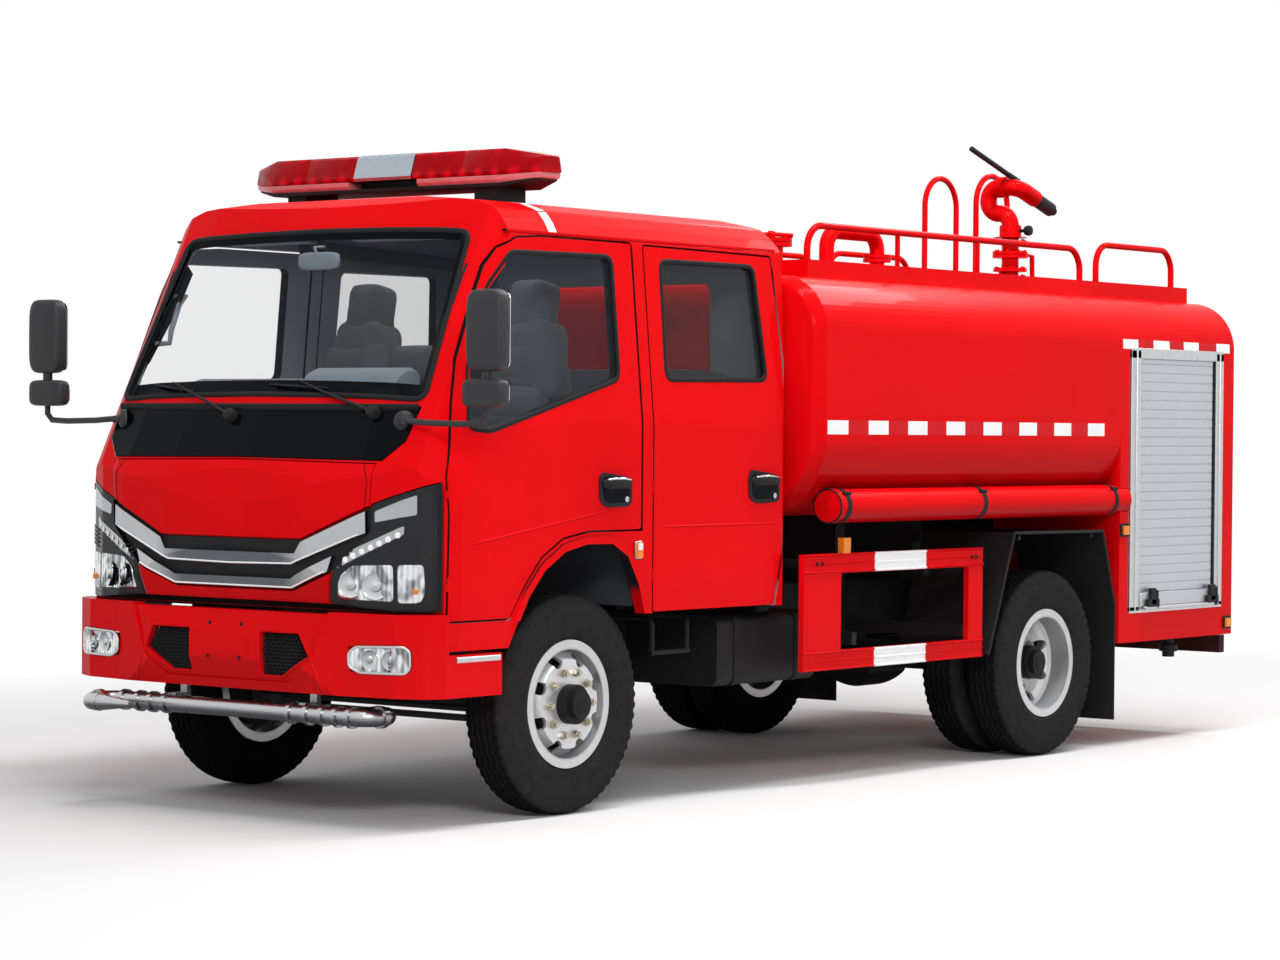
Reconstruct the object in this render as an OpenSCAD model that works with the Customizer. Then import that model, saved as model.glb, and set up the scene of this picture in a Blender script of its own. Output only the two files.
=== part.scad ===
// Crew-cab water tank fire truck
// +X forward, +Y to the left, +Z up, millimetres; the origin lies on the ground under the middle of the truck

/* [Running gear] */
// front axle to rear axle
wheelbase = 3800; // [3400:10:4400]
// tyre outer diameter
tyre_d = 974; // [900:2:1020]
// tyre section width
tyre_w = 235; // [200:1:250]
// wheel flange diameter
rim_d = 566; // [520:2:600]
// wheel width between the flanges
rim_w = 178; // [160:1:190]
// wheel disc, nut face out from the wheel's middle
disc_out = 96; // [85:1:105]
// number of wheel nuts
nut_count = 10; // [6:1:10]
// wheel nut circle diameter
nut_circle = 286; // [250:1:300]
// distance between the front tyre middles
front_track = 1856; // [1780:2:1900]
// distance between the middles of the rear twin pairs
rear_track = 1838; // [1780:2:1860]
// distance between the tyre middles of a twin pair
twin_pitch = 270; // [262:1:285]
// kingpin axis to the front tyre middle
kingpin_offset = 160; // [150:1:180]
// stub axle radius
stub_r = 35; // [28:1:40]
// kingpin radius
kingpin_r = 18; // [14:1:20]
// radial gap of turning fits
run_gap = 0.05; // [0.02:0.01:0.1]
// gap between seated pieces
seat = 0.2; // [0.1:0.05:0.4]

/* [Frame] */
// overall width of the two rails
frame_w = 860; // [800:2:900]
// rail height
rail_h = 200; // [180:2:220]
// rail flange width
rail_b = 70; // [60:1:80]
// rail plate thickness
rail_t = 8; // [6:0.5:10]
// top of the rails above the ground
rail_top = 830; // [810:2:850]

/* [Cab] */
// half width of the cab at the belt
cab_half = 1080; // [1040:2:1120]
// back of the cab behind the front axle
cab_back = 1590; // [1500:5:1700]
// roof height above the ground
roof_z = 2724; // [2650:2:2800]
// lower edge of the cab behind the wheel
sill_z = 870; // [850:2:890]
// thickness of walls and doors
cab_wall = 46; // [36:1:55]
// front of the cab ahead of the front tyre
nose_lead = 605; // [600:1:610]
// height of the roof above the line where screen and nose meet
screen_drop = 1282.4; // [1275:0.1:1290]
// lean of the windscreen
screen_tilt = 26.6; // [24:0.1:29]
// gap around the doors
door_gap = 9; // [8:0.5:12]
// glass thickness
glass_t = 6; // [4:0.5:8]
// glass below the outer skin
glass_in = 12; // [8:1:18]
// gap behind the rear edge of a door
door_gap_rear = 14; // [12:0.5:16]
// thickness of the front panels and lamps
panel_t = 30; // [24:1:36]

/* [Tank and pump house] */
// half width of the tank and the pump house
tank_half = 1200; // [1150:2:1230]
// top of the tank
tank_top = 2440; // [2400:2:2480]
// bottom of the tank
tank_bottom = 1280; // [1240:2:1300]
// upper corner radius of the section
tank_r_up = 270; // [240:2:300]
// lower corner radius of the section
tank_r_low = 390; // [340:2:400]
// space between the rear tyre and the pump house
house_gap = 188; // [180:1:200]
// gap between cab and tank
tank_gap = 50; // [40:1:70]
// length of the pump house
house_len = 1268; // [1200:2:1300]
// lower edge of the pump house
house_z = 560; // [540:2:580]
// thickness of the pump house walls
house_wall = 40; // [30:1:50]
// coaming half width
coam_half = 925; // [880:2:930]
// coaming height
coam_h = 88; // [70:1:110]
// hose tube radius
hose_r = 82; // [70:1:84]

/* [Monitor] */
// monitor axis behind the front axle
mon_x = 4893; // [4850:1:4930]
// monitor axis left of the middle
mon_y = 230; // [200:1:260]
// height of the monitor riser above the tank
mon_stand = 355; // [340:1:370]
// height of the turning collar on the monitor flange
mon_collar = 68; // [60:1:80]
// monitor pipe radius
mon_r = 48; // [40:1:52]
// bend radius of the monitor pipe
mon_bend = 74; // [70:1:80]
// barrel angle below level when stowed
mon_dip = 17; // [10:1:20]

/* [Hidden] */
$fn = 48;

wheel_z = tyre_d / 2;
kingpin_y = front_track / 2 - kingpin_offset;
tank_front = cab_back + tank_gap;
house_front = wheelbase + tyre_d / 2 + house_gap;
mon_flange = tank_top + mon_stand;
mon_z = mon_flange + mon_collar + 3 * mon_bend;
tank_len = house_front - tank_front;
house_back = house_front + house_len;
rail_bottom = rail_top - rail_h;
rail_front = 960;
nozzle_reach = 1240;
ladder_r = 17;
ladder_x = house_back + 75;
front_axle_x = (ladder_x + ladder_r - nozzle_reach) / 2;
bead_r = 255;
disc_t = 14;
seat_r = bead_r - seat;
drum_r = 205;
hub_r = 87.8;
diff_r = 200;
gear_back = 1050;
engine_back = 460;
shaft_run = wheelbase - gear_back - diff_r;
shaft_z = rail_bottom + 30;
shaft_drop = shaft_z - wheel_z;
shaft_dip = atan(shaft_drop / shaft_run);
shaft_len = sqrt(shaft_run * shaft_run + shaft_drop * shaft_drop) - 4;
eye_gap = 6;
boss_h = 92;
eye_h = 42;
arm_back = 190;
arm_z = -boss_h / 2 - eye_gap - eye_h;
plate_y = 56;
beam_top = 40;
pad_h = 12;
leaf_t = 10;
floor_z = 900;
floor_t = 30;
riser_z = 1235;
inner_half = cab_half - cab_wall - 30;
bumper_in = 1010;
bumper_top = 913;
bumper_bottom = 563;
bumper_t = 50;
guard_y = tank_half - 62;
guard_arms = [-tank_front - 400, -tank_front - 1380];
spring_y = frame_w / 2 - rail_b / 2;
saddle_half = 600;
step_y = 985;
jaw_z = 380;
jaw_r = 16;
step_z = 680;
underrun_z = 500;
function saddle_x(i) = -tank_front - 380 - i * (tank_len - 700) / 3;

red = [0.82, 0.04, 0.07];
black = [0.08, 0.08, 0.09];
silver = [0.75, 0.76, 0.78];
glassy = [0.45, 0.5, 0.52];
dark = [0.2, 0.2, 0.22];

// everything is laid out from the front axle
module from_axle() { translate([front_axle_x, 0, 0]) children(); }
module both_sides() { children(); mirror([0, 1, 0]) children(); }
module along_y(len) { rotate([90, 0, 0]) translate([0, 0, -len / 2]) linear_extrude(len) children(); }
module along_x(x0, x1) { translate([x0, 0, 0]) rotate([90, 0, 90]) linear_extrude(x1 - x0) children(); }
module left_of(y0, y1) { translate([0, y1, 0]) rotate([90, 0, 0]) linear_extrude(y1 - y0) children(); }
module rounded(r) { offset(r = r) offset(delta = -r) children(); }
module bend(radius, r, turn = 90) { rotate_extrude(angle = turn) translate([radius, 0]) circle(r); }
module rod_y(y0, y1, r) { translate([0, y0, 0]) rotate([-90, 0, 0]) cylinder(r = r, h = y1 - y0); }
module rod_x(x0, x1, r) { translate([x0, 0, 0]) rotate([0, 90, 0]) cylinder(r = r, h = x1 - x0); }
module mirrored_2d() { children(); mirror([1, 0]) children(); }

// a bent tube in the XZ plane: two legs and a top bar
module hoop(x0, x1, z0, z1, radius, r) {
  for (x = [x0, x1]) translate([x, 0, z0]) cylinder(r = r, h = z1 - radius - z0);
  translate([x1 - radius, 0, z1 - radius]) rotate([90, 0, 0]) bend(radius, r);
  translate([x0 + radius, 0, z1 - radius]) rotate([90, 0, 0]) rotate([0, 0, 90]) bend(radius, r);
  if (x1 - x0 > 2 * radius) translate([0, 0, z1]) rod_x(x0 + radius, x1 - radius, r);
}

/* Cab outline: the cab is what four profiles have in common */
module cab_side(inset) {
  offset(delta = -inset) rounded(60)
    polygon([[-cab_back, 400], [990, 400], [1035, 945], [1092, 1190], [1088, 1370], [1050, 1540], [1000, 1700],
             [560, roof_z - 164], [478, roof_z - 52], [400, roof_z - 12], [250, roof_z], [-400, roof_z - 5],
             [-cab_back + 250, roof_z - 36], [-cab_back + 60, roof_z - 70], [-cab_back, roof_z - 170]]);
}
module cab_front_2d(inset) {
  offset(delta = -inset) rounded(50) mirrored_2d()
    polygon([[-1, 300], [cab_half - 8, 300], [cab_half, 1000], [cab_half, 1720], [cab_half - 76, roof_z - 189],
             [cab_half - 112, roof_z - 124], [cab_half - 155, roof_z - 74], [cab_half - 260, roof_z - 38],
             [500, roof_z - 12], [0, roof_z], [-1, roof_z]]);
}
module cab_plan(inset) {
  offset(delta = -inset) rounded(60)
    polygon([for (s = [1, -1], p = s > 0 ? plan_points() : reversed(plan_points())) [p[0], s * p[1]]]);
}
function plan_points() = [[-cab_back, cab_half - 70], [-cab_back + 60, cab_half], [790, cab_half], [862, cab_half - 14],
  [940, cab_half - 90], [nose_x - 92, 880], [nose_x - 47, 700], [nose_x - 14, 400], [nose_x, 60]];
function reversed(list) = [for (i = [len(list) - 1 : -1 : 0]) list[i]];
// the screen plane runs through the nose at a drop below the roof
nose_x = tyre_d / 2 + nose_lead;
screen_v = nose_x * cos(screen_tilt) + (roof_z - screen_drop) * sin(screen_tilt);
function screen_points() = [[-3000, cab_half + 10], [screen_v - 420, cab_half + 10], [screen_v - 322, cab_half + 4],
  [screen_v - 172, cab_half - 40], [screen_v - 92, cab_half - 110], [screen_v - 54, 905], [screen_v - 25, 700],
  [screen_v - 8, 400], [screen_v, 60]];
module cab_screen(inset) {
  offset(delta = -inset) rounded(60)
    polygon([for (s = [1, -1], p = s > 0 ? screen_points() : reversed(screen_points())) [p[0], s * p[1]]]);
}
module cab_solid(inset) {
  intersection() {
    along_y(3000) cab_side(inset);
    along_x(-2600, 1500) cab_front_2d(inset);
    linear_extrude(3000) cab_plan(inset);
    rotate([0, -screen_tilt, 0]) linear_extrude(3600) cab_screen(inset);
  }
}
// the wheel arch and the lower edge of the cab, seen from the side
module under_cab_2d() {
  polygon([[-3000, 0], [-3000, sill_z], [-455, sill_z], [-410, 1000], [-330, 1130], [-220, 1188], [-40, 1190],
           [110, 1160], [250, 1080], [350, 975], [430, 840], [478, 758], [868, 758], [868, bumper_top + 6],
           [1500, bumper_top + 6], [1500, 0]]);
}
module cab_walls() {
  difference() {
    cab_solid(0);
    cab_solid(cab_wall);
    along_y(3200) under_cab_2d();
  }
}

// Door and window outlines, seen from the left side
door_front_x = 858;
door_mid_x = -430;
rear_door_x = -524;
module front_door_2d(grow = 0) {
  offset(delta = grow) rounded(15)
    polygon([[door_front_x, 885], [848, 1489], [770, 1794], [713, 1982], [636, 2149], [580, 2270], [520, 2392],
             [463, 2468], [366, 2516], [200, 2528], [door_mid_x, 2528], [door_mid_x, 1250], [-60, 1250],
             [120, 1222], [270, 1140], [390, 1010], [478, 885]]);
}
module rear_door_2d(grow = 0) {
  offset(delta = grow) rounded(15)
    polygon([[rear_door_x, sill_z + 6], [rear_door_x, 2522], [-cab_back + 95, 2514], [-cab_back + 52, 2030],
             [-cab_back + 52, 1240], [-cab_back + 140, sill_z + 6]]);
}
// the wider gap behind the rear edges
module door_back_2d() {
  translate([door_mid_x - door_gap_rear, 1250 - door_gap]) square([40, 1278]);
  offset(delta = door_gap_rear) intersection() {
    rear_door_2d();
    translate([-cab_back, sill_z + 20]) square([200, 1560]);
  }
}
module front_window_2d(grow = 0) {
  offset(delta = grow) rounded(38)
    polygon([[-280, 1925], [-280, 2455], [410, 2446], [530, 2295], [680, 1930], [712, 1700], [610, 1692]]);
}
module rear_window_2d(grow = 0) {
  offset(delta = grow) rounded(38)
    polygon([[-642, 1930], [-650, 2452], [-1350, 2456], [-1397, 1940]]);
}
// outlines on the front, seen along X: sideways, up
module hood_2d(grow = 0) {
  offset(delta = grow) mirrored_2d()
    polygon([[-1, 1221], [418, 1221], [770, 1367], [780, 1541], [-1, 1552]]);
}
module cowl_2d(grow = 0) {
  offset(delta = grow) mirrored_2d() polygon([[-1, 1566], [806, 1558], [890, 1640], [905, 1780], [-1, 1780]]);
}
module lamp_2d(grow = 0) {
  offset(delta = grow)
    polygon([[563, 950], [592, 1092], [778, 1254], [784, 1370], [941, 1427], [1060, 1470], [1200, 1500], [1200, 925], [900, 925]]);
}
module valance_2d(grow = 0) {
  offset(delta = grow) mirrored_2d() polygon([[-1, 950], [552, 950], [576, 1074], [352, 993], [-1, 993]]);
}
module grille_2d(grow = 0) {
  offset(delta = grow) mirrored_2d()
    polygon([[-1, 1001], [351, 1001], [577, 1083], [584, 1095], [770, 1258], [774, 1360], [420, 1213], [-1, 1213]]);
}
module screen_glass_2d(grow = 0) {
  offset(delta = grow) rounded(60)
    polygon([[-908, 1246], [908, 1246], [850, 2050], [-850, 2050]]);
}
module on_screen() { rotate([0, -screen_tilt, 0]) rotate([90, 0, 90]) children(); }
module back_window_2d(grow = 0) {
  offset(delta = grow) rounded(50) translate([-620, 1880]) square([1240, 520]);
}

/* Chassis */
module rail_2d() {
  translate([frame_w / 2 - rail_b, rail_bottom]) difference() {
    square([rail_b, rail_h]);
    translate([-1, rail_t]) square([rail_b - rail_t + 1, rail_h - 2 * rail_t]);
  }
}
module guard_arm(x) {
  translate([x - 20, frame_w / 2, rail_bottom + 30]) cube([40, guard_y - frame_w / 2 - seat, 60]);
}
module frame() {
  color(black) from_axle() {
    both_sides() {
      along_x(-house_back + 20, rail_front) rail_2d();
      for (x = guard_arms) guard_arm(x);
    }
    for (x = [rail_front - 60, -gear_back - 110, -tank_front - 260, -wheelbase + 700, -wheelbase - 450, -house_back + 60])
      translate([x, -frame_w / 2 + rail_t, rail_top - 76]) cube([60, frame_w - 2 * rail_t, 68]);
    // spring hangers
    both_sides() for (end = [-1, 1]) {
      translate([end * (front_spring - 40) - 25, spring_y - 33, front_eye_z + seat]) cube([50, 66, rail_bottom - front_eye_z - seat]);
      translate([-wheelbase + end * (rear_spring - 40) - 25, spring_y - 33, rear_eye_z + seat])
        cube([50, 66, rail_bottom - rear_eye_z - seat]);
    }
    // bumper brackets
    both_sides() intersection() {
      translate([rail_front - 5, frame_w / 2 - rail_b, rail_bottom + 20]) cube([300, rail_b, rail_h - 60]);
      bumper_solid(bumper_t + seat);
    }
    // tank saddles and sub-frame
    both_sides() translate([-house_front + 10, frame_w / 2 - rail_b, rail_top])
      cube([tank_len - 200, rail_b, 90]);
    for (i = [0 : 3]) translate([saddle_x(i), -saddle_half, rail_top + 90])
      cube([80, 2 * saddle_half, tank_bottom - rail_top - 90 - seat]);
    // towing jaw
    difference() {
      translate([-house_back + 30, -50, jaw_z - 45]) cube([80, 100, 90]);
      translate([-house_back + 20, -60, jaw_z - 25]) cube([60, 120, 50]);
      translate([-house_back + 55, 0, jaw_z - 60]) cylinder(r = jaw_r, h = 120);
    }
    translate([-house_back + 90, -35, jaw_z - 45]) cube([60, 70, rail_bottom - jaw_z + 60]);
    translate([-house_back + 90, -frame_w / 2 + rail_t, rail_bottom]) cube([60, frame_w - 2 * rail_t, 60]);
    // step loops under the rear doors
    both_sides() for (x = [-640, -900]) translate([x, 0, rail_top + 8]) {
      rod_y(frame_w / 2 - 40, step_y - 40, 12);
      translate([0, step_y - 40, -40]) rotate([90, 0, 90]) bend(40, 12);
      translate([0, step_y, step_z - rail_top - 8]) cylinder(r = 12, h = rail_top + 8 - 40 - step_z);
    }
    both_sides() translate([0, step_y, step_z]) rod_x(-912, -628, 12);
    // rear underrun bar
    both_sides() translate([-house_back + 30, frame_w / 2 - rail_b, underrun_z - 40]) cube([60, rail_b, rail_bottom - underrun_z + 45]);
    // cab mounts
    both_sides() for (x = [-1200, 620]) translate([x, frame_w / 2 - rail_b, rail_top])
      cube([120, rail_b, floor_z - rail_top - seat]);
  }
}
module engine_block() {
  color(dark) from_axle() {
    translate([-engine_back, -300, rail_bottom]) cube([engine_back + 440, 600, 520]);
    translate([-gear_back, -170, rail_bottom - 40]) cube([gear_back - engine_back + 5, 340, floor_z - rail_bottom + 28]);
    translate([-engine_back + 10, -200, rail_bottom - 120]) cube([370, 400, 125]);
    for (x = [-440, 300]) translate([x, -frame_w / 2 + rail_t + seat, rail_bottom + 60])
      cube([80, frame_w - 2 * rail_t - 2 * seat, 50]);
    // propeller shaft to the rear axle
    translate([-gear_back, 0, shaft_z]) rotate([0, -90 - shaft_dip, 0]) cylinder(r = 45, h = shaft_len);
  }
}
module front_axle() {
  color(black) from_axle() {
    for (z = [-64, beam_top - 20]) translate([-38, -kingpin_y + 90, wheel_z + z]) cube([76, 2 * kingpin_y - 180, 20]);
    translate([-14, -kingpin_y + 90, wheel_z - 64]) cube([28, 2 * kingpin_y - 180, beam_top + 64]);
    both_sides() translate([-60, spring_y - 40, wheel_z + beam_top]) cube([120, 80, pad_h]);
    both_sides() translate([0, kingpin_y, wheel_z]) {
      translate([0, 0, -boss_h / 2]) cylinder(r = 44, h = boss_h);
      translate([0, 0, -boss_h / 2 - eye_gap - eye_h - 4]) cylinder(r = kingpin_r, h = boss_h + 2 * (eye_gap + eye_h + 4));
      translate([-38, -110, -boss_h / 2 + 4]) cube([76, 110, boss_h - 8]);
    }
  }
}
module knuckle() {
  difference() {
    union() {
      for (z = [boss_h / 2 + eye_gap, -boss_h / 2 - eye_gap - eye_h]) translate([0, 0, z]) {
        cylinder(r = 40, h = eye_h);
        translate([-40, 0, 0]) cube([80, plate_y + 10, eye_h]);
      }
      translate([-70, plate_y, arm_z]) cube([140, 24, 2 * -arm_z]);
      rod_y(plate_y + 24, kingpin_offset + disc_out + 20, stub_r);
      // steering arm with its ball pin
      translate([-arm_back, -25, arm_z]) cube([arm_back - 20, 50, 18]);
      translate([-arm_back, 0, arm_z]) cylinder(r = 30, h = 18);
      translate([-arm_back, 0, arm_z - 40]) cylinder(r = 12, h = 45);
    }
    translate([0, 0, -300]) cylinder(r = kingpin_r + run_gap, h = 600);
  }
}
module knuckle_left() { color(dark) from_axle() translate([0, kingpin_y, wheel_z]) knuckle(); }
module knuckle_right() { color(dark) from_axle() mirror([0, 1, 0]) translate([0, kingpin_y, wheel_z]) knuckle(); }
module tie_rod() {
  color(dark) from_axle() translate([-arm_back, 0, wheel_z + arm_z - 24]) difference() {
    union() {
      rod_y(-kingpin_y, kingpin_y, 16);
      both_sides() translate([0, kingpin_y, -18]) cylinder(r = 26, h = 36);
    }
    both_sides() translate([0, kingpin_y, -40]) cylinder(r = 12 + run_gap, h = 80);
  }
}
module rear_axle() {
  color(black) from_axle() translate([-wheelbase, 0, wheel_z]) {
    rod_y(-rear_hub_in + seat, rear_hub_in - seat, 72);
    rod_y(-rear_hub_out, rear_hub_out, stub_r);
    both_sides() translate([-60, spring_y - 40, 0]) cube([120, 80, 74]);
    intersection() {
      rotate([0, 90, 0]) translate([0, 0, -diff_r]) cylinder(r = diff_r - 20, h = 2 * diff_r - 20);
      rod_y(-150, 150, diff_r);
    }
  }
}
rear_hub_in = rear_track / 2 - 250;
rear_hub_out = rear_track / 2 + 110;

front_spring = 600;
rear_spring = 680;
front_pack_z = wheel_z + beam_top + pad_h + seat;
rear_pack_z = wheel_z + 74 + seat;
front_rise = 30;
rear_rise = 8;
front_eye_z = front_pack_z + 4 * leaf_t + 3 * seat + front_rise * pow(1 - 15 / front_spring, 2);
rear_eye_z = rear_pack_z + 4 * leaf_t + 3 * seat + rear_rise * pow(1 - 15 / rear_spring, 2);
// one leaf: a flat bow, its middle at the origin
module leaf(half_len, rise, width) {
  steps = 8;
  xs = [for (i = [-steps : steps]) i / steps * half_len];
  along_y(width) polygon(concat([for (x = xs) [x, rise * x * x / (half_len * half_len)]],
    [for (x = reversed(xs)) [x, leaf_t + rise * x * x / (half_len * half_len)]]));
}
// leaves grow longer towards the top and share one bow
module spring_pack(half_len, rise, leaves) {
  for (i = [1 : leaves]) {
    share = 1 - 0.17 * (leaves - i);
    translate([0, 0, (i - 1) * (leaf_t + seat)]) leaf(half_len * share, rise * share * share, 66);
  }
}
module leaf_springs() {
  color(dark) from_axle() both_sides() translate([0, spring_y, 0]) {
    translate([0, 0, front_pack_z]) spring_pack(front_spring, front_rise, 4);
    translate([-wheelbase, 0, rear_pack_z]) spring_pack(rear_spring, rear_rise, 4);
  }
}

module side_tanks() {
  color(black) from_axle() {
    // fuel tank on the left
    translate([-1941, frame_w / 2 + seat, 494]) along_x(0, 792) rounded(50) square([545, 333]);
    // air tanks and silencer on the right
    for (i = [0, 1]) translate([-tank_front - 460, -frame_w / 2 - 130 - seat - i * (260 + seat), rail_bottom + 40])
      rod_x(-850, 0, 130);
  }
}

/* Bumper and front spray pipe */
// rear edge of the bumper ends, clear of a steered tyre
bumper_rear = 534;
module bumper_plan(inset) {
  offset(delta = -inset) rounded(40)
    polygon([for (s = [1, -1], p = s > 0 ? bumper_points() : reversed(bumper_points())) [p[0], s * p[1]]]);
}
function bumper_points() = [[500, cab_half + 11], [900, cab_half + 11], [975, cab_half - 40], [1034, 919], [1062, 700],
  [1090, 560], [1112, 460], [1120, 60]];
module bumper_solid(inset) {
  intersection() {
    translate([0, 0, bumper_bottom - 10]) linear_extrude(bumper_top - bumper_bottom + 20) bumper_plan(inset);
    along_y(3000) offset(delta = -inset)
      polygon([[300, bumper_bottom], [1075, bumper_bottom], [1120, 700], [1120, 800], [1085, bumper_top], [300, bumper_top]]);
  }
}
module intake_2d() { polygon([[213, 632], [330, 632], [490, 721], [440, 816], [213, 816]]); }
module fog_2d() { polygon([[700, 668], [900, 668], [905, 775], [690, 775]]); }
// the middle of the bumper is set back a little
module recess_2d() { polygon([[-1, 604], [372, 604], [505, 700], [592, 905], [592, 960], [-1, 960]]); }
recess_t = 10;
module bumper() {
  color(red) from_axle() {
    difference() {
      bumper_solid(0);
      bumper_solid(bumper_t);
      translate([0, -2000, 0]) cube([bumper_in, 4000, 3000]);
      both_sides() along_x(800, 1300) { intake_2d(); fog_2d(); }
      intersection() {
        along_x(900, 1300) mirrored_2d() recess_2d();
        difference() {
          bumper_solid(-1);
          bumper_solid(recess_t);
        }
      }
    }
    // bumper ends and steps beside the wheel
    both_sides() difference() {
      bumper_solid(0);
      bumper_solid(bumper_t);
      translate([bumper_in, -2000, 0]) cube([500, 4000, 3000]);
      translate([-2000, -3000, 0]) cube([4000, 3000 + 930, 3000]);
      translate([-2000, -2000, 742]) cube([2876, 4000, 3000]);
      translate([bumper_rear - 2000, -2000, 0]) cube([2000, 4000, 3000]);
    }
  }
}
pipe_x = 1030;
pipe_z = 471;
pipe_r = 38;
pipe_end = 700;
module spray_pipe() {
  color(silver) from_axle() translate([pipe_x, 0, pipe_z]) {
    rod_y(-pipe_end, pipe_end, pipe_r);
    for (y = [-pipe_end, -600, -520, -430, 330, 430, 520, 600, pipe_end - 22]) rod_y(y, y + 22, pipe_r + 9);
    // right arm turned forward
    translate([70, -pipe_end, 0]) rotate([0, 0, 180]) bend(70, pipe_r);
    translate([70, -pipe_end - 70, 0]) rod_x(0, 30, pipe_r + 9);
    translate([100, -pipe_end, 0]) rotate([0, 0, -90]) bend(70, pipe_r);
    translate([170, -pipe_end, 0]) rotate([-90, 0, 0]) {
      cylinder(r = pipe_r + 2, h = 30);
      translate([0, 0, 30]) cylinder(r1 = pipe_r, r2 = 15, h = 190);
    }
    // left arm turned back
    translate([-70, pipe_end, 0]) bend(70, pipe_r);
    translate([-100, pipe_end + 70, 0]) rod_x(0, 30, pipe_r + 9);
    translate([-100, pipe_end, 0]) rotate([0, 0, 90]) bend(70, pipe_r);
    translate([-170, pipe_end, 0]) rotate([90, 0, 0]) {
      cylinder(r = pipe_r + 2, h = 30);
      translate([0, 0, 30]) cylinder(r1 = pipe_r, r2 = 15, h = 190);
    }
    // hangers to the frame
    both_sides() translate([0, 395, pipe_r - 14]) {
      translate([-90, -20, 0]) cube([90, 40, 22]);
      translate([-95, -20, 0]) cube([25, 40, rail_bottom - pipe_z - pipe_r + 14 - seat]);
    }
  }
}

/* Wheels, laid along Y about their own middle, outside towards +Y */
function both_ways(half) = concat(half, [for (p = reversed(half)) [p[0], -p[1]]]);
module tyre() {
  r = tyre_d / 2;
  h = tyre_w / 2;
  b = rim_w / 2 - seat;
  f = rim_d / 2 + seat;
  rotate([-90, 0, 0]) rotate_extrude($fn = 96) difference() {
    polygon(both_ways([[bead_r + 14, b - 26], [bead_r, b - 26], [bead_r, b], [f, b], [f + 8, b + 8], [f + 45, h - 3],
      [f + 90, h], [r - 62, h - 4], [r - 30, h - 13], [r - 10, h - 24], [r - 3, h - 36], [r, h - 50]]));
    for (a = [-60, -20, 20, 60]) translate([r - 11, a - 5]) square([20, 10]);
    polygon(both_ways([[bead_r + 10, b - 30], [f + 20, b - 12], [f + 60, h - 20], [r - 70, h - 24], [r - 34, h - 44]]));
  }
}
// nuts stand on the outer face, on the inner face or are left out
module rim(nuts = 1) {
  h = rim_w / 2;
  f = rim_d / 2;
  rotate([-90, 0, 0]) difference() {
    union() {
      rotate_extrude($fn = 96) union() {
        polygon(both_ways([[seat_r - 14, h + 6], [f, h + 6], [f, h], [seat_r, h], [seat_r, h - 30], [seat_r - 6, h - 40]]));
        polygon([[seat_r - 10, 10], [seat_r - 10, 30], [215, 62], [196, disc_out], [hub_r + seat, disc_out],
                 [hub_r + seat, disc_out - disc_t], [186, disc_out - disc_t], [205, 52]]);
      }
      if (nuts != 0) translate([0, 0, nuts > 0 ? disc_out - 1 : disc_out - disc_t + 1]) mirror([0, 0, nuts > 0 ? 0 : 1])
        for (i = [0 : nut_count - 1]) rotate(i * 360 / nut_count) translate([nut_circle / 2, 0, 0]) {
          cylinder(r = 19, h = 20, $fn = 6);
          cylinder(r = 11, h = 32, $fn = 12);
        }
    }
    for (i = [0 : 7]) rotate((i + 0.5) * 45) translate([200, 0, 0]) cylinder(r = 29, h = 200);
  }
}
module front_hub() {
  rotate([-90, 0, 0]) difference() {
    union() {
      translate([0, 0, -kingpin_offset + plate_y + 34]) cylinder(r = drum_r, h = 110);
      translate([0, 0, -kingpin_offset + plate_y + 34]) cylinder(r = 180, h = kingpin_offset - plate_y - 34 + disc_out - disc_t - seat);
      translate([0, 0, disc_out - disc_t - seat - 1]) cylinder(r = hub_r, h = 60);
      translate([0, 0, disc_out + 40]) cylinder(r = 62, h = 36);
    }
    translate([0, 0, -kingpin_offset]) cylinder(r = stub_r + run_gap, h = kingpin_offset + disc_out + 26);
  }
}
rear_wheel_in = rear_track / 2 - twin_pitch / 2;
rear_wheel_out = rear_track / 2 + twin_pitch / 2;
// gap between the facing discs of a twin pair
twin_space = twin_pitch - 2 * disc_out;
module rear_hub() {
  rotate([-90, 0, 0]) difference() {
    union() {
      translate([0, 0, -twin_pitch / 2 - 100]) cylinder(r = drum_r, h = 130);
      translate([0, 0, -twin_pitch / 2 - 100]) cylinder(r = hub_r, h = twin_pitch + 130);
      translate([0, 0, -twin_space / 2 + seat]) cylinder(r = 180, h = twin_space - 2 * seat);
      translate([0, 0, twin_pitch / 2 + 30]) cylinder(r = 62, h = 30);
    }
    translate([0, 0, -twin_pitch / 2 - 200]) cylinder(r = stub_r + run_gap, h = rear_hub_out - rear_track / 2 + twin_pitch / 2 + 206);
  }
}
module at_front(side) { from_axle() { if (side > 0) translate([0, front_track / 2, wheel_z]) children();
  else mirror([0, 1, 0]) translate([0, front_track / 2, wheel_z]) children(); } }
module at_rear(side, y) { from_axle() { if (side > 0) translate([-wheelbase, y, wheel_z]) children();
  else mirror([0, 1, 0]) translate([-wheelbase, y, wheel_z]) children(); } }
module tyre_front_left() { color(black) at_front(1) tyre(); }
module rim_front_left() { color(silver) at_front(1) rim(); }
module hub_front_left() { color(black) at_front(1) front_hub(); }
module tyre_front_right() { color(black) at_front(-1) tyre(); }
module rim_front_right() { color(silver) at_front(-1) rim(); }
module hub_front_right() { color(black) at_front(-1) front_hub(); }
module twin_tyres(side) { for (y = [rear_wheel_in, rear_wheel_out]) at_rear(side, y) tyre(); }
module twin_rims(side) {
  at_rear(side, rear_wheel_in) rim(0);
  at_rear(side, rear_wheel_out) mirror([0, 1, 0]) rim(-1);
}
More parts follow.
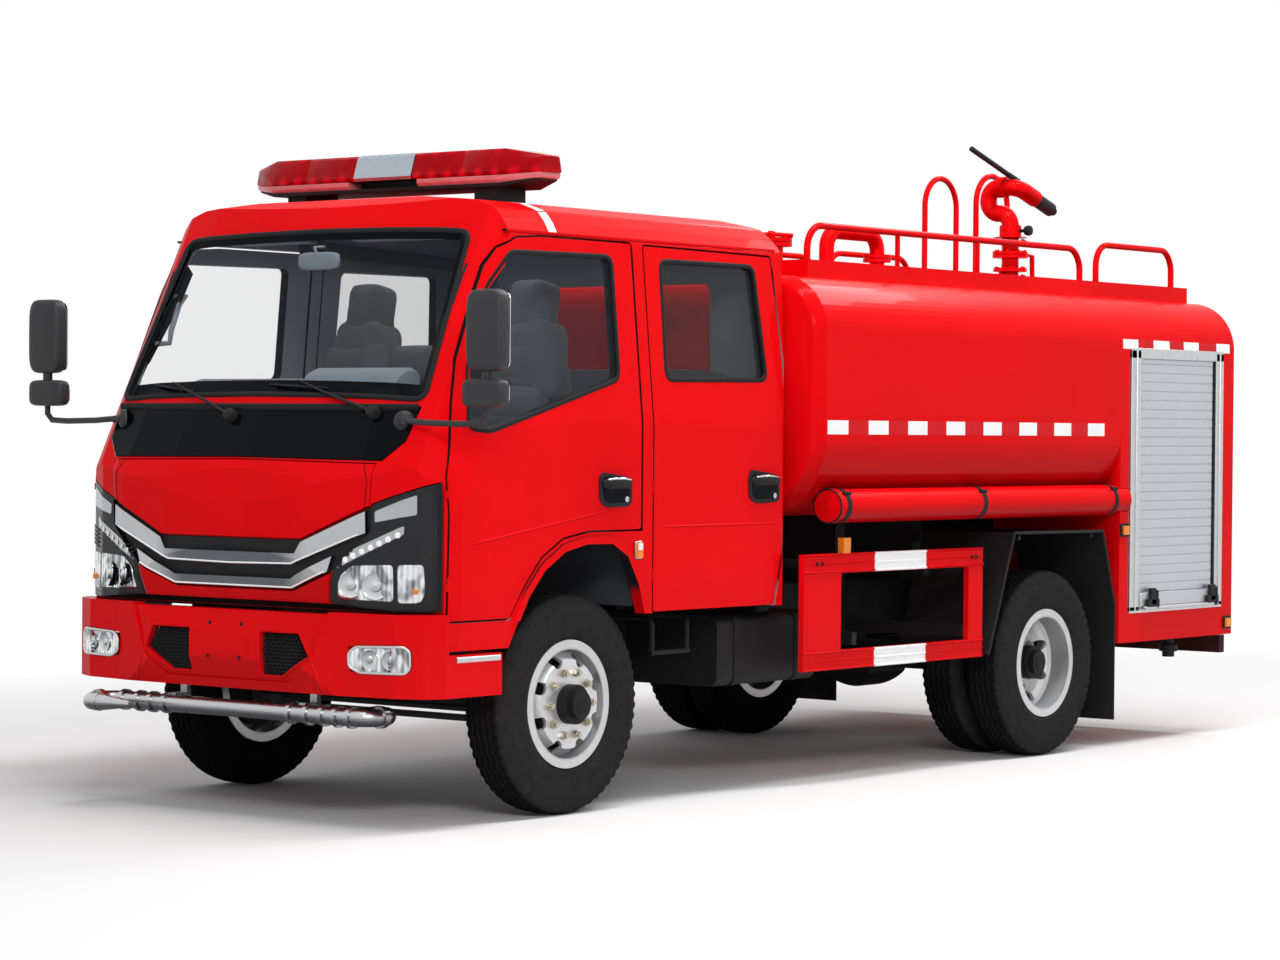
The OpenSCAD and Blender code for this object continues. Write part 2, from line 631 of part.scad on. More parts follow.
module tyres_rear_left() { color(black) twin_tyres(1); }
module rims_rear_left() { color(silver) twin_rims(1); }
module hub_rear_left() { color(black) at_rear(1, rear_track / 2) rear_hub(); }
module tyres_rear_right() { color(black) twin_tyres(-1); }
module rims_rear_right() { color(silver) twin_rims(-1); }
module hub_rear_right() { color(black) at_rear(-1, rear_track / 2) rear_hub(); }

/* Cab pieces */
lamp_back = 872;
lip_out = 9;
lip_w = 34;
module arch_2d(grow = 0) {
  offset(delta = grow) intersection() {
    under_cab_2d();
    translate([-470, 300]) square([1000, 1000]);
  }
}
module arch_lip() {
  intersection() {
    difference() { cab_solid(-lip_out); cab_solid(10); }
    left_of(900, 1400) difference() {
      arch_2d(lip_w);
      arch_2d();
      translate([-3000, 0]) square([6000, sill_z]);
    }
  }
}
module cab_shell() {
  color(red) from_axle() {
    difference() {
      cab_walls();
      both_sides() left_of(500, 1400) { front_door_2d(door_gap); rear_door_2d(door_gap); door_back_2d(); }
      difference() {
        union() {
          along_x(700, 1300) { hood_2d(5); cowl_2d(5); valance_2d(5); grille_2d(5); }
          both_sides() along_x(lamp_back, 1300) lamp_2d(5);
          along_x(lamp_back, 1300) translate([-1200, 700]) square([2400, 250]);
        }
        cab_solid(panel_t + seat);
      }
      on_screen() translate([0, 0, 1200]) linear_extrude(700) screen_glass_2d();
      along_x(-cab_back - 50, -cab_back + 100) back_window_2d();
    }
    both_sides() {
      arch_lip();
      translate([front_hinge_x, front_hinge_y, 0]) hinge_pillar_half();
      translate([rear_hinge_x, hinge_y, 0]) hinge_pillar_half();
    }
    // drip rails
    both_sides() translate([-cab_back + 45, cab_half - 104, 2543]) cube([cab_back + 380, 28, 10]);
  }
}
// the floor ends behind the lamp and bumper recess
floor_front = lamp_back - 8;
module cab_floor() {
  color(dark) from_axle() intersection() {
    along_y(2 * inner_half) polygon([[floor_front, floor_z], [floor_front, floor_z + floor_t], [560, floor_z + floor_t], [560, riser_z],
      [-500, riser_z], [-500, floor_z + floor_t], [-cab_back, floor_z + floor_t], [-cab_back, floor_z],
      [-470, floor_z], [-470, riser_z - floor_t], [530, riser_z - floor_t], [530, floor_z]]);
    cab_solid(cab_wall + seat);
  }
}
module front_skin(grow_out, depth) { difference() { cab_solid(-grow_out); cab_solid(depth); } }
module front_panels() {
  color(red) from_axle() intersection() {
    front_skin(0, panel_t);
    along_x(700, 1300) { hood_2d(); valance_2d(); }
  }
}
module cowl_panel() { color(black) from_axle() intersection() { front_skin(0, panel_t); along_x(700, 1300) cowl_2d(); } }
module grille() { color(black) from_axle() intersection() { front_skin(-18, panel_t); along_x(700, 1300) grille_2d(); } }
module bar_2d() {
  mirrored_2d() {
    polygon([[-1, 1101], [371, 1108], [758, 1252], [756, 1342], [425, 1206], [392, 1156], [-1, 1156]]);
    polygon([[-1, 1003], [353, 1003], [566, 1084], [590, 1150], [380, 1062], [350, 1046], [-1, 1046]]);
  }
}
module grille_bars() {
  color(silver) from_axle() intersection() { front_skin(6, 18 - seat); along_x(700, 1300) bar_2d(); }
}
module headlamps() {
  color(black) from_axle() both_sides() intersection() { front_skin(0, panel_t); along_x(lamp_back + 5, 1300) lamp_2d(); }
}
module side_glass(inset) {
  along_x(-2600, 1500) difference() { cab_front_2d(inset); cab_front_2d(inset + glass_t); }
}
module cab_glass() {
  color(glassy) from_axle() {
    intersection() {
      rotate([0, -screen_tilt, 0]) linear_extrude(3600) difference() {
        cab_screen(glass_in);
        cab_screen(glass_in + glass_t);
      }
      on_screen() translate([0, 0, 1200]) linear_extrude(700) screen_glass_2d(-seat);
    }
    along_x(-cab_back + 16, -cab_back + 22) back_window_2d(-seat);
  }
}
// room beside the dashboard for the inner face of a swinging door
dash_side = 50;
module dash_2d(grow = 0) {
  offset(delta = grow) rounded(40) polygon([[560, 1330], [540, 1560], [620, 1690], [740, 1725], [990, 1725], [990, 1330]]);
}
module dashboard() {
  color(dark) from_axle() intersection() {
    along_y(2 * (inner_half - dash_side)) dash_2d();
    cab_solid(cab_wall + seat);
  }
}
wheel_at = [400, 470, 1650];
module steering_wheel() {
  color(black) from_axle() {
    translate(wheel_at) rotate([0, -38, 0]) {
      rotate_extrude() translate([215, 0]) circle(15);
      for (a = [90, 210, 330]) rotate(a) translate([0, -14, -8]) cube([205, 28, 12]);
      translate([0, 0, -30]) cylinder(r = 58, h = 40);
    }
    difference() {
      translate(wheel_at) rotate([0, -38, 0]) translate([0, 0, -290]) cylinder(r = 26, h = 265);
      along_y(3000) dash_2d(seat);
    }
  }
}
module seat_block(x, y, w) {
  translate([x, y - w / 2, riser_z + seat]) cube([500, w, 170]);
  translate([x - 150, y - w / 2, riser_z + seat]) rotate([0, -8, 0]) cube([140, w, 660]);
}
module seats() {
  color(dark) from_axle() {
    seat_block(-80, 470, 520);
    seat_block(-80, -320, 860);
    translate([-cab_back + 240, -880, floor_z + floor_t + seat]) cube([480, 1760, 480]);
    translate([-cab_back + cab_wall + 10, -880, floor_z + floor_t + seat]) cube([150, 1760, 1080]);
  }
}
mirror_y = 1332;
module mirrors() {
  color(black) from_axle() both_sides() {
    translate([925, mirror_y, 1930]) linear_extrude(340) rounded(30) square([90, 195], center = true);
    translate([925, mirror_y - 10, 1780]) linear_extrude(120) rounded(25) square([80, 220], center = true);
    translate([925, mirror_y, 1723]) cylinder(r = 14, h = 215);
    translate([925, 0, 1723]) rod_y(880, mirror_y + 14, 14);
    difference() {
      translate([820, 858, 1700]) cube([120, 44, 46]);
      cab_solid(-seat);
    }
  }
}
bar_half = 874;
module light_bar() {
  color(red) from_axle() translate([-34, 0, 0]) {
    along_y(2 * bar_half) rounded(24)
      polygon([[-150, 2765], [150, 2765], [158, 2830], [120, 2935], [-120, 2935], [-158, 2830]]);
  }
  color(black) from_axle() both_sides() difference() {
    translate([-144, 574 - 60, roof_z - 40]) cube([220, 120, 2766 - roof_z + 40]);
    cab_solid(-seat);
  }
}

/* Doors: each turns on two pins in the gap at its front edge, level with the skin */
hinge_y = cab_half + 1;
front_hinge_y = cab_half - 11;
front_hinge_x = door_front_x + door_gap / 2;
rear_hinge_x = rear_door_x + door_gap / 2;
pin_r = 2;
barrel_r = 4.2;
hinge_z = [1010, 1400];
module hinge_pillar_half() {
  for (z = hinge_z) translate([0, 0, z]) {
    cylinder(r = barrel_r, h = 30);
    cylinder(r = pin_r, h = 58);
    translate([0, -14, 0]) cube([12, 14, 30]);
  }
}
module hinge_door_half() {
  for (z = hinge_z) translate([0, 0, z + 30 + seat]) difference() {
    union() {
      cylinder(r = barrel_r, h = 30);
      translate([-24, -14, 0]) cube([24, 14, 30]);
    }
    translate([0, 0, -1]) cylinder(r = pin_r + run_gap, h = 40);
  }
}
module front_door() {
  difference() {
    intersection() { cab_walls(); left_of(500, 1400) front_door_2d(); }
    left_of(500, 1400) front_window_2d();
  }
  translate([front_hinge_x, front_hinge_y, 0]) hinge_door_half();
}
module rear_door() {
  difference() {
    intersection() { cab_walls(); left_of(500, 1400) rear_door_2d(); }
    left_of(500, 1400) rear_window_2d();
  }
  translate([rear_hinge_x, hinge_y, 0]) hinge_door_half();
}
module front_glass() { intersection() { side_glass(glass_in); left_of(500, 1400) front_window_2d(-seat); cab_solid(10); } }
module rear_glass() { intersection() { side_glass(glass_in); left_of(500, 1400) rear_window_2d(-seat); } }
module door_front_left() { color(red) from_axle() front_door(); }
module door_front_right() { color(red) from_axle() mirror([0, 1, 0]) front_door(); }
module door_rear_left() { color(red) from_axle() rear_door(); }
module door_rear_right() { color(red) from_axle() mirror([0, 1, 0]) rear_door(); }
module glass_front_left() { color(glassy) from_axle() front_glass(); }
module glass_front_right() { color(glassy) from_axle() mirror([0, 1, 0]) front_glass(); }
module glass_rear_left() { color(glassy) from_axle() rear_glass(); }
module glass_rear_right() { color(glassy) from_axle() mirror([0, 1, 0]) rear_glass(); }

/* Tank and what it carries */
module tank_2d(inset = 0) {
  offset(delta = -inset) mirrored_2d() {
    translate([-1, tank_bottom]) square([tank_half - tank_r_low + 1, tank_top - tank_bottom]);
    translate([-1, tank_bottom + tank_r_low])
      square([tank_half + 1, tank_top - tank_r_up - tank_bottom - tank_r_low]);
    translate([tank_half - tank_r_low, tank_bottom + tank_r_low]) circle(tank_r_low, $fn = 64);
    translate([tank_half - tank_r_up, tank_top - tank_r_up]) circle(tank_r_up, $fn = 64);
    translate([-1, tank_top - tank_r_up]) square([tank_half - tank_r_up + 1, tank_r_up]);
  }
}
module water_tank() {
  color(red) from_axle() {
    translate([-house_front + seat, 0, 0]) along_x(0, tank_len - 60 - seat) tank_2d();
    for (i = [0 : 3]) translate([-tank_front - 60 + i * 15, 0, 0]) along_x(0, 15) tank_2d(8 + 7 * i * (i + 1) / 2);
  }
}
module tank_deck() {
  color(red) from_axle() translate([0, 0, tank_top + seat]) difference() {
    translate([-house_back + 57, -coam_half, 0]) cube([house_back - 57 - tank_front - 285, 2 * coam_half, coam_h]);
    translate([-house_back + 63, -coam_half + 6, -1])
      cube([house_back - 57 - tank_front - 285 - 12, 2 * coam_half - 12, coam_h + 2]);
  }
}
rail_y = coam_half - 30;
module hand_rails() {
  color(red) from_axle() both_sides() translate([0, rail_y, 0]) {
    hoop(-4537, -1960, tank_top + seat, 2699, 120, 17);
    for (x = [-3500, -2750]) translate([x, 0, tank_top + seat]) cylinder(r = 13, h = 2699 - tank_top - 10);
    hoop(-5548, -4710, tank_top + seat, 2734, 120, 17);
  }
}
hatch_x = 2950;
hatch_y = -380;
hatch_r = 270;
hatch_h = 60;
hatch_hinge = hatch_r + 40;
hatch_z = tank_top + hatch_h + 2 * seat;
module deck_pipes() {
  color(red) from_axle() {
    // filling pipe with its flanged cap
    translate([-2265, 459, tank_top + seat]) {
      cylinder(r = 60, h = 215);
      translate([0, 0, 178]) cylinder(r = 105, h = 18);
      translate([0, 0, 200]) cylinder(r = 105, h = 20);
    }
    // bent vent pipe
    translate([0, 230, 0]) {
      hoop(-3549, -3078, tank_top + seat, 2745, 90, 40);
      for (x = [-3549, -3078]) translate([x, 0, tank_top + seat]) cylinder(r = 62, h = 16);
      for (z = [tank_top + 160, tank_top + 182]) translate([-3549, 0, z]) cylinder(r = 75, h = 18);
    }
    // manhole collar
    translate([-hatch_x, hatch_y, 0]) {
      translate([0, 0, tank_top + seat]) difference() {
        cylinder(r = hatch_r, h = hatch_h);
        translate([0, 0, -1]) cylinder(r = hatch_r - 25, h = hatch_h + 2);
      }
      translate([-hatch_hinge, 0, hatch_z + 8]) {
        rod_y(-60, 60, 6);
        for (y = [-60, 45]) translate([-14, y, tank_top + seat - hatch_z - 8]) cube([28, 15, hatch_z + 16 - tank_top - seat]);
      }
    }
    // monitor riser
    translate([-mon_x, mon_y, tank_top + seat]) {
      cylinder(r = mon_r, h = mon_flange - tank_top - seat);
      for (z = [0, 120, 165, 320]) translate([0, 0, z]) cylinder(r = 95, h = 20);
    }
  }
}
module manhole_lid() {
  color(red) from_axle() translate([-hatch_x, hatch_y, hatch_z]) difference() {
    union() {
      cylinder(r = hatch_r + 15, h = 14);
      translate([0, 0, 14]) cylinder(r = 200, h = 18);
      translate([-hatch_hinge, -40, 2]) cube([hatch_hinge - hatch_r + 10, 80, 12]);
      translate([-hatch_hinge, 0, 8]) rod_y(-40, 40, 12);
    }
    translate([-hatch_hinge, 0, 8]) rod_y(-60, 60, 6 + run_gap);
  }
}
hose_a = 45;
hose_reach = tank_r_low + hose_r + seat;
hose_y = tank_half - tank_r_low + hose_reach * cos(hose_a);
hose_z = tank_bottom + tank_r_low - hose_reach * sin(hose_a);
module hose_tubes() {
  color(red) from_axle() both_sides() translate([0, hose_y, hose_z]) {
    rod_x(-house_front - 80, -tank_front - 165, hose_r);
  }
}
module pump_house_2d() {
  difference() {
    union() {
      tank_2d();
      translate([-tank_half, house_z]) square([2 * tank_half, tank_top - tank_r_up - house_z]);
    }
    translate([-frame_w / 2 - 20, 0]) square([frame_w + 40, rail_top + seat]);
  }
}
shut_x0 = 92;
shut_x1 = 1126;
shut_z0 = 729;
shut_z1 = 2148;
rear_shut_half = 620;
module pump_house() {
  color(red) from_axle() difference() {
    translate([-house_back, 0, 0]) along_x(0, house_len) pump_house_2d();
    translate([-house_back + house_wall, 0, 0]) along_x(0, house_len - 2 * house_wall)
      offset(delta = -house_wall) pump_house_2d();
    left_of(-2000, 2000) translate([-house_front - shut_x1, shut_z0]) square([shut_x1 - shut_x0, shut_z1 - shut_z0]);
    along_x(-house_back - 50, -house_back + house_wall + 20)
      translate([-rear_shut_half, rail_top + 80]) square([2 * rear_shut_half, shut_z1 - rail_top - 80]);
    both_sides() translate([-house_front - 80 - 10, hose_y, hose_z]) rod_x(0, 200, hose_r + 2);
  }
}
module shutters() {
  color(silver) from_axle() {
    both_sides() left_of(tank_half - 30, tank_half - 10)
      translate([-house_front - shut_x1 + seat, shut_z0 + seat]) square([shut_x1 - shut_x0 - 2 * seat, shut_z1 - shut_z0 - 2 * seat]);
    along_x(-house_back + 10, -house_back + 30)
      translate([-rear_shut_half + seat, rail_top + 80 + seat]) square([2 * rear_shut_half - 2 * seat, shut_z1 - rail_top - 80 - 2 * seat]);
  }
}
ladder_y = [-730, -370];
module ladder() {
  color(red) from_axle() {
    for (y = ladder_y) translate([0, y, 0]) {
      translate([-ladder_x, 0, 700]) cylinder(r = ladder_r, h = 3216 - 172 - 700);
      translate([-ladder_x + 344, 0, tank_top + seat]) cylinder(r = ladder_r, h = 3216 - 172 - tank_top - seat);
      translate([-ladder_x + 172, 0, 3216 - 172]) rotate([90, 0, 0]) bend(172, ladder_r, 180);
    }
    for (z = [760 : 280 : 2500]) translate([-ladder_x, 0, z]) rod_y(ladder_y[0], ladder_y[1], 12);
    for (y = ladder_y, z = [900, 2200]) translate([-ladder_x, y, z]) rod_x(0, ladder_x - house_back - seat, 10);
  }
}
module guard_2d() {
  translate([-tank_front - 1510, 551]) difference() {
    square([1576, 557]);
    translate([132, 92]) square([1134, 371]);
  }
}
module side_guards() {
  color(red) from_axle() {
    both_sides() left_of(guard_y, guard_y + 30) guard_2d();
    // underrun bar across the rear
    translate([-house_back + 30 - seat - 60, -tank_half + 60, underrun_z - 50]) cube([60, 2 * tank_half - 120, 100]);
  }
}
module mud_line_2d() {
  polygon([[620, 558], [377, 1177], [-516, 1170], [-650, 760], [-650, 300], [620, 300]]);
}
module mudguards() {
  color(black) from_axle() both_sides() {
    translate([-wheelbase, 0, 0]) left_of(frame_w / 2 + 200, tank_half - 8) difference() {
      mud_line_2d();
      offset(delta = -6) mud_line_2d();
      translate([-2000, 0]) square([4000, 560]);
      translate([-700, 0]) square([100, 745]);
    }
    for (i = [2, 3]) translate([saddle_x(i) + 20, saddle_half + seat, 1120])
      cube([40, frame_w / 2 + 202 - saddle_half, 52]);
    translate([-wheelbase - 650, frame_w / 2 + 200, 149]) cube([8, tank_half - 8 - frame_w / 2 - 200, 640]);
  }
}
module lamps() {
  color([0.9, 0.5, 0.05]) from_axle() both_sides() {
    translate([-house_back - 30, 1000, 800]) cube([30 - seat, 150, 320]);
    translate([-427, cab_half + seat, 1122]) cube([42, 18, 68]);
    for (at = [[-4520, 1172], [-5682, 628]]) translate([at[0] - 28, tank_half + seat, at[1] - 24]) cube([56, 20, 48]);
    translate([-1960, guard_y - 2, 1108 + seat]) {
      cube([60, 32, 24]);
      translate([0, 0, 20]) cube([60, 34, 54]);
    }
  }
}

/* Monitor */
module monitor_swivel() {
  color(red) from_axle() translate([-mon_x, mon_y, 0]) {
    translate([0, 0, mon_flange + seat]) cylinder(r = mon_r + 14, h = mon_collar);
    // the pipe swings out to the right and back over its own axis
    translate([0, -mon_bend, mon_flange + mon_collar]) rotate([90, 0, 90]) bend(mon_bend, mon_r);
    translate([0, -mon_bend, mon_z - mon_bend]) rotate([90, 0, 90]) rotate([0, 0, 90]) bend(mon_bend, mon_r, 180);
    translate([0, -mon_bend, mon_z]) rod_y(0, 20, mon_r + 12);
  }
}
module on_barrel() { translate([-mon_x, mon_y, mon_z]) rotate([0, -mon_dip, 0]) children(); }
module monitor_head() {
  color(red) from_axle() on_barrel() {
    translate([0, 20 + seat - mon_bend, 0]) rod_y(0, 24, mon_r + 12);
    translate([-mon_bend, 44 - mon_bend, 0]) bend(mon_bend, mon_r);
    translate([-mon_bend - 120, 44, 0]) rod_x(0, 120, mon_r);
  }
}
module monitor_nozzle() {
  color(black) from_axle() on_barrel() translate([0, 44, 0]) {
    translate([-mon_bend - 300, 0, 0]) rod_x(0, 180 - seat, 40);
    translate([-mon_bend - 340, 0, 0]) rod_x(0, 41, 22);
    // tiller bar clamped on the bend
    translate([30, -40, mon_r + 6 + seat]) rod_x(0, 430, 15);
    translate([-60, -52, mon_r + seat]) cube([110, 24, 18]);
  }
}

frame();
engine_block();
front_axle();
rear_axle();
leaf_springs();
side_tanks();
bumper();
spray_pipe();
knuckle_left();
knuckle_right();
tie_rod();
tyre_front_left();
rim_front_left();
hub_front_left();
tyre_front_right();
rim_front_right();
hub_front_right();
tyres_rear_left();
rims_rear_left();
hub_rear_left();
tyres_rear_right();
rims_rear_right();
hub_rear_right();
cab_shell();
cab_floor();
front_panels();
cowl_panel();
grille();
grille_bars();
headlamps();
cab_glass();
dashboard();
steering_wheel();
seats();
mirrors();
light_bar();
door_front_left();
glass_front_left();
door_front_right();
glass_front_right();
door_rear_left();
glass_rear_left();
door_rear_right();
glass_rear_right();
water_tank();
tank_deck();
hand_rails();
deck_pipes();
manhole_lid();
hose_tubes();
pump_house();
shutters();
ladder();
side_guards();
mudguards();
lamps();
monitor_swivel();
monitor_head();
monitor_nozzle();
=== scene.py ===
import math
import random

import bpy
import bmesh
from mathutils import Matrix, Vector
from mathutils.bvhtree import BVHTree


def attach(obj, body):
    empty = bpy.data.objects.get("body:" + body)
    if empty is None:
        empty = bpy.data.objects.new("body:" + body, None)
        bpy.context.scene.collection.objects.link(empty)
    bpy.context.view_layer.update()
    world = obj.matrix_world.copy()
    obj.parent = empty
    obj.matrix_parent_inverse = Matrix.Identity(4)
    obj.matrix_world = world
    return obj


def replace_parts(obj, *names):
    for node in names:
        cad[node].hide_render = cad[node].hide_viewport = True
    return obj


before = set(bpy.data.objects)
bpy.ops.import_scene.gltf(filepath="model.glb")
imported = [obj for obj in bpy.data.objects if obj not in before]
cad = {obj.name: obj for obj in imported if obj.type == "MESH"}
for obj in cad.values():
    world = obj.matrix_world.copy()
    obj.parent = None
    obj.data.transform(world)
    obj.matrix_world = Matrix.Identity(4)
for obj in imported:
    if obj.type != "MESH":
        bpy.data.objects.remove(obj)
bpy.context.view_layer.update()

random.seed(11)
axleX = 2.2975  # front axle in the row frame, metres


def mm(x, y, z):
    # millimetres from the front axle to metres in the row frame
    return Vector((x / 1000 + axleX, y / 1000, z / 1000))


print("stage 1: camera, floor and light")

view = {"place": (13.796, 10.410, 1.703), "yaw": 38.052, "pitch": -0.884, "roll": 0.4906, "lens": 95.10}


def placeCamera():
    yaw, pitch, roll = (math.radians(view[k]) for k in ("yaw", "pitch", "roll"))
    forward = Vector((-math.cos(yaw) * math.cos(pitch), -math.sin(yaw) * math.cos(pitch), math.sin(pitch)))
    right = forward.cross(Vector((0, 0, 1))).normalized()
    up = right.cross(forward)
    c, s = math.cos(roll), math.sin(roll)
    right, up = c * right + s * up, -s * right + c * up
    lens = bpy.data.cameras.new("photoCamera")
    lens.lens, lens.sensor_width, lens.clip_end = view["lens"], 36, 300
    camera = bpy.data.objects.new("photoCamera", lens)
    bpy.context.scene.collection.objects.link(camera)
    turn = Matrix((right, up, -forward)).transposed().to_4x4()
    camera.matrix_world = Matrix.Translation(view["place"]) @ turn
    bpy.context.scene.camera = camera


placeCamera()


class Flow:
    # a socket whose operators add Math nodes

    def __init__(self, look, socket):
        self.look, self.socket = look, socket

    def calc(self, kind, a, b):
        return self.look.out(self.look.add("ShaderNodeMath", {"operation": kind}, [a, b]))

    def __add__(self, other):
        return self.calc("ADD", self, other)

    def __sub__(self, other):
        return self.calc("SUBTRACT", self, other)

    def __rsub__(self, other):
        return self.calc("SUBTRACT", other, self)

    def __mul__(self, other):
        return self.calc("MULTIPLY", self, other)

    def __truediv__(self, other):
        return self.calc("DIVIDE", self, other)

    def __pow__(self, other):
        return self.calc("POWER", self, other)

    __radd__ = __add__
    __rmul__ = __mul__

    def low(self, other):
        return self.calc("MINIMUM", self, other)

    def high(self, other):
        return self.calc("MAXIMUM", self, other)

    def beat(self, pitch):
        # swings between 0 and 1 along the value
        return self.calc("SINE", self * (2 * math.pi / pitch), 0.0) * 0.5 + 0.5

    def size(self):
        return self.calc("ABSOLUTE", self, 0.0)

    def ramp(self, start, end):
        # 0 at start, 1 at end
        return ((self - start) / (end - start)).low(1.0).high(0.0)

    def between(self, low, high, soft=0.0006):
        return self.ramp(low - soft, low + soft) * self.ramp(high + soft, high - soft)


class Look:
    # one material and its nodes

    def __init__(self, name, **plain):
        self.material = bpy.data.materials.new(name)
        self.material.use_nodes = True
        self.tree = self.material.node_tree
        self.shader = self.tree.nodes["Principled BSDF"]
        self.spot = None
        for key, value in plain.items():
            self.put(key.replace("_", " ").title().replace("Ior", "IOR"), value)

    def feed(self, socket, value):
        if isinstance(value, Flow):
            self.tree.links.new(value.socket, socket)
        else:
            socket.default_value = value

    def add(self, kind, settings=None, inputs=None):
        node = self.tree.nodes.new(kind)
        for key, value in (settings or {}).items():
            setattr(node, key, value)
        pairs = inputs.items() if isinstance(inputs, dict) else enumerate(inputs or [])
        for key, value in pairs:
            self.feed(node.inputs[key], value)
        return node

    def out(self, node, key=0):
        return Flow(self, node.outputs[key])

    def put(self, socket, value):
        if isinstance(value, tuple) and len(value) == 3:
            value = (*value, 1)
        self.feed(self.shader.inputs[socket], value)
        return self

    def where(self):
        # place in the row frame at rest: x, y, z
        if self.spot is None:
            coords = self.add("ShaderNodeTexCoord")
            self.objectSpot = self.out(coords, "Object")
            self.objectNormal = self.out(coords, "Normal")
            split = self.add("ShaderNodeSeparateXYZ", None, [self.objectSpot])
            self.spot = [self.out(split, i) for i in range(3)]
        return self.spot

    def noise(self, scale, detail=3.0, stretch=None):
        self.where()
        spot = self.objectSpot
        if stretch:
            spot = self.out(self.add("ShaderNodeVectorMath", {"operation": "MULTIPLY"}, [spot, stretch]))
        node = self.add("ShaderNodeTexNoise", None, {"Vector": spot, "Scale": scale, "Detail": detail})
        return self.out(node, 0)

    def cells(self, scale, feature="F1"):
        self.where()
        node = self.add("ShaderNodeTexVoronoi", {"feature": feature}, {"Vector": self.objectSpot, "Scale": scale})
        return self.out(node, "Distance")

    def blend(self, mask, a, b):
        full = lambda c: (*c, 1) if isinstance(c, tuple) and len(c) == 3 else c
        node = self.add("ShaderNodeMix", {"data_type": "RGBA"}, {0: mask, 6: full(a), 7: full(b)})
        return self.out(node, 2)

    def bump(self, height, strength=0.2, depth=0.001):
        node = self.add("ShaderNodeBump", None, {"Strength": strength, "Distance": depth, "Height": height})
        self.put("Normal", self.out(node))
        return self

    def across(self):
        # how far a face looks outwards to its own side of the truck
        x, y, z = self.where()
        split = self.add("ShaderNodeSeparateXYZ", None, [self.objectNormal])
        return self.out(split, 1) * y / y.size().high(0.001)

    def upwards(self):
        self.where()
        return self.out(self.add("ShaderNodeSeparateXYZ", None, [self.objectNormal]), 2)

    def seen(self):
        # 1 for what the camera meets directly, in a mirror or through glass
        rays = self.add("ShaderNodeLightPath")
        a, b, c = (self.out(rays, "Is " + kind + " Ray") for kind in ("Camera", "Glossy", "Transmission"))
        return a.high(b).high(c)

    def facing(self, centre):
        # positive where a face looks away from the centre, negative inside
        self.where()
        away = self.out(self.add("ShaderNodeVectorMath", {"operation": "SUBTRACT"}, [self.objectSpot, centre]))
        dot = self.add("ShaderNodeVectorMath", {"operation": "DOT_PRODUCT"}, [away, self.objectNormal])
        return self.out(dot, "Value")


class Sky(Look):
    # the world's nodes, added the same way

    def __init__(self, world):
        world.use_nodes = True
        self.tree, self.spot = world.node_tree, None
        self.tree.nodes.clear()


studio = {"sky": 0.40, "key": 640.0, "fill": 340.0, "rear": 420.0, "cabin": 4.0, "floor": (0.86, 0.86, 0.86), "fadeFrom": 3.4, "fadeTo": 7.0}


def buildStudio():
    scene = bpy.context.scene
    scene.view_settings.view_transform = "Standard"
    scene.world = bpy.data.worlds.new("studioSky")
    sky = Sky(scene.world)
    lit = sky.add("ShaderNodeBackground", None, {"Color": (0.97, 0.985, 1, 1), "Strength": studio["sky"]})
    white = sky.add("ShaderNodeBackground", None, {"Color": (1, 1, 1, 1), "Strength": 1.0})
    both = sky.add("ShaderNodeMixShader", None, [sky.seen(), sky.out(lit), sky.out(white)])
    sky.add("ShaderNodeOutputWorld", None, [sky.out(both)])

    def lamp(name, place, aim, size, power):
        data = bpy.data.lights.new(name, "AREA")
        data.shape, data.size, data.size_y, data.energy = "RECTANGLE", size[0], size[1], power
        lampObject = bpy.data.objects.new(name, data)
        scene.collection.objects.link(lampObject)
        lampObject.location = place
        lampObject.rotation_euler = (Vector(aim) - Vector(place)).to_track_quat("-Z", "Y").to_euler()

    # long narrow lamps draw clear streaks on the paint
    lamp("overheadLight", (0.5, 2.6, 8.5), (0, 0, 1.0), (11, 1.1), studio["key"])
    lamp("frontLight", (9, 8, 5.5), (1, 0, 1.3), (5, 0.9), studio["fill"])
    lamp("rearLight", (-9, 0.7, 8.6), (-2, 0.6, 2.2), (10, 0.8), studio["rear"])
    lamp("cabinLight", (2.0, 0, 2.52), (2.0, 0, 1.0), (1.3, 1.3), studio["cabin"])

    mesh = bpy.data.meshes.new("studioFloor")
    far = 120
    mesh.from_pydata([(-far, -far, 0), (far, -far, 0), (far, far, 0), (-far, far, 0)], [], [(0, 1, 2, 3)])
    floor = bpy.data.objects.new("studioFloor", mesh)
    scene.collection.objects.link(floor)
    look = Look("studioFloorPaint", roughness=0.9, base_color=studio["floor"])
    x, y, z = look.where()
    reach = ((x * x) * 0.45 + y * y) ** 0.5
    glow = look.add("ShaderNodeEmission", None, {"Color": (1, 1, 1, 1), "Strength": 1.0})
    fade = reach.ramp(studio["fadeFrom"], studio["fadeTo"]) * look.seen()
    joined = look.add("ShaderNodeMixShader", None, [fade, look.out(look.shader), look.out(glow)])
    look.feed(look.tree.nodes["Material Output"].inputs[0], look.out(joined))
    mesh.materials.append(look.material)


buildStudio()
print("stage 2: finishes")

tone = {"red": (0.80, 0.002, 0.005), "redDeep": (0.73, 0.002, 0.004), "black": (0.012, 0.012, 0.013),
        "cabin": (0.26, 0.28, 0.31), "silver": (0.78, 0.79, 0.80), "redShade": (0.34, 0.001, 0.002)}
cabCentre = (2.1, 0.0, 1.75)


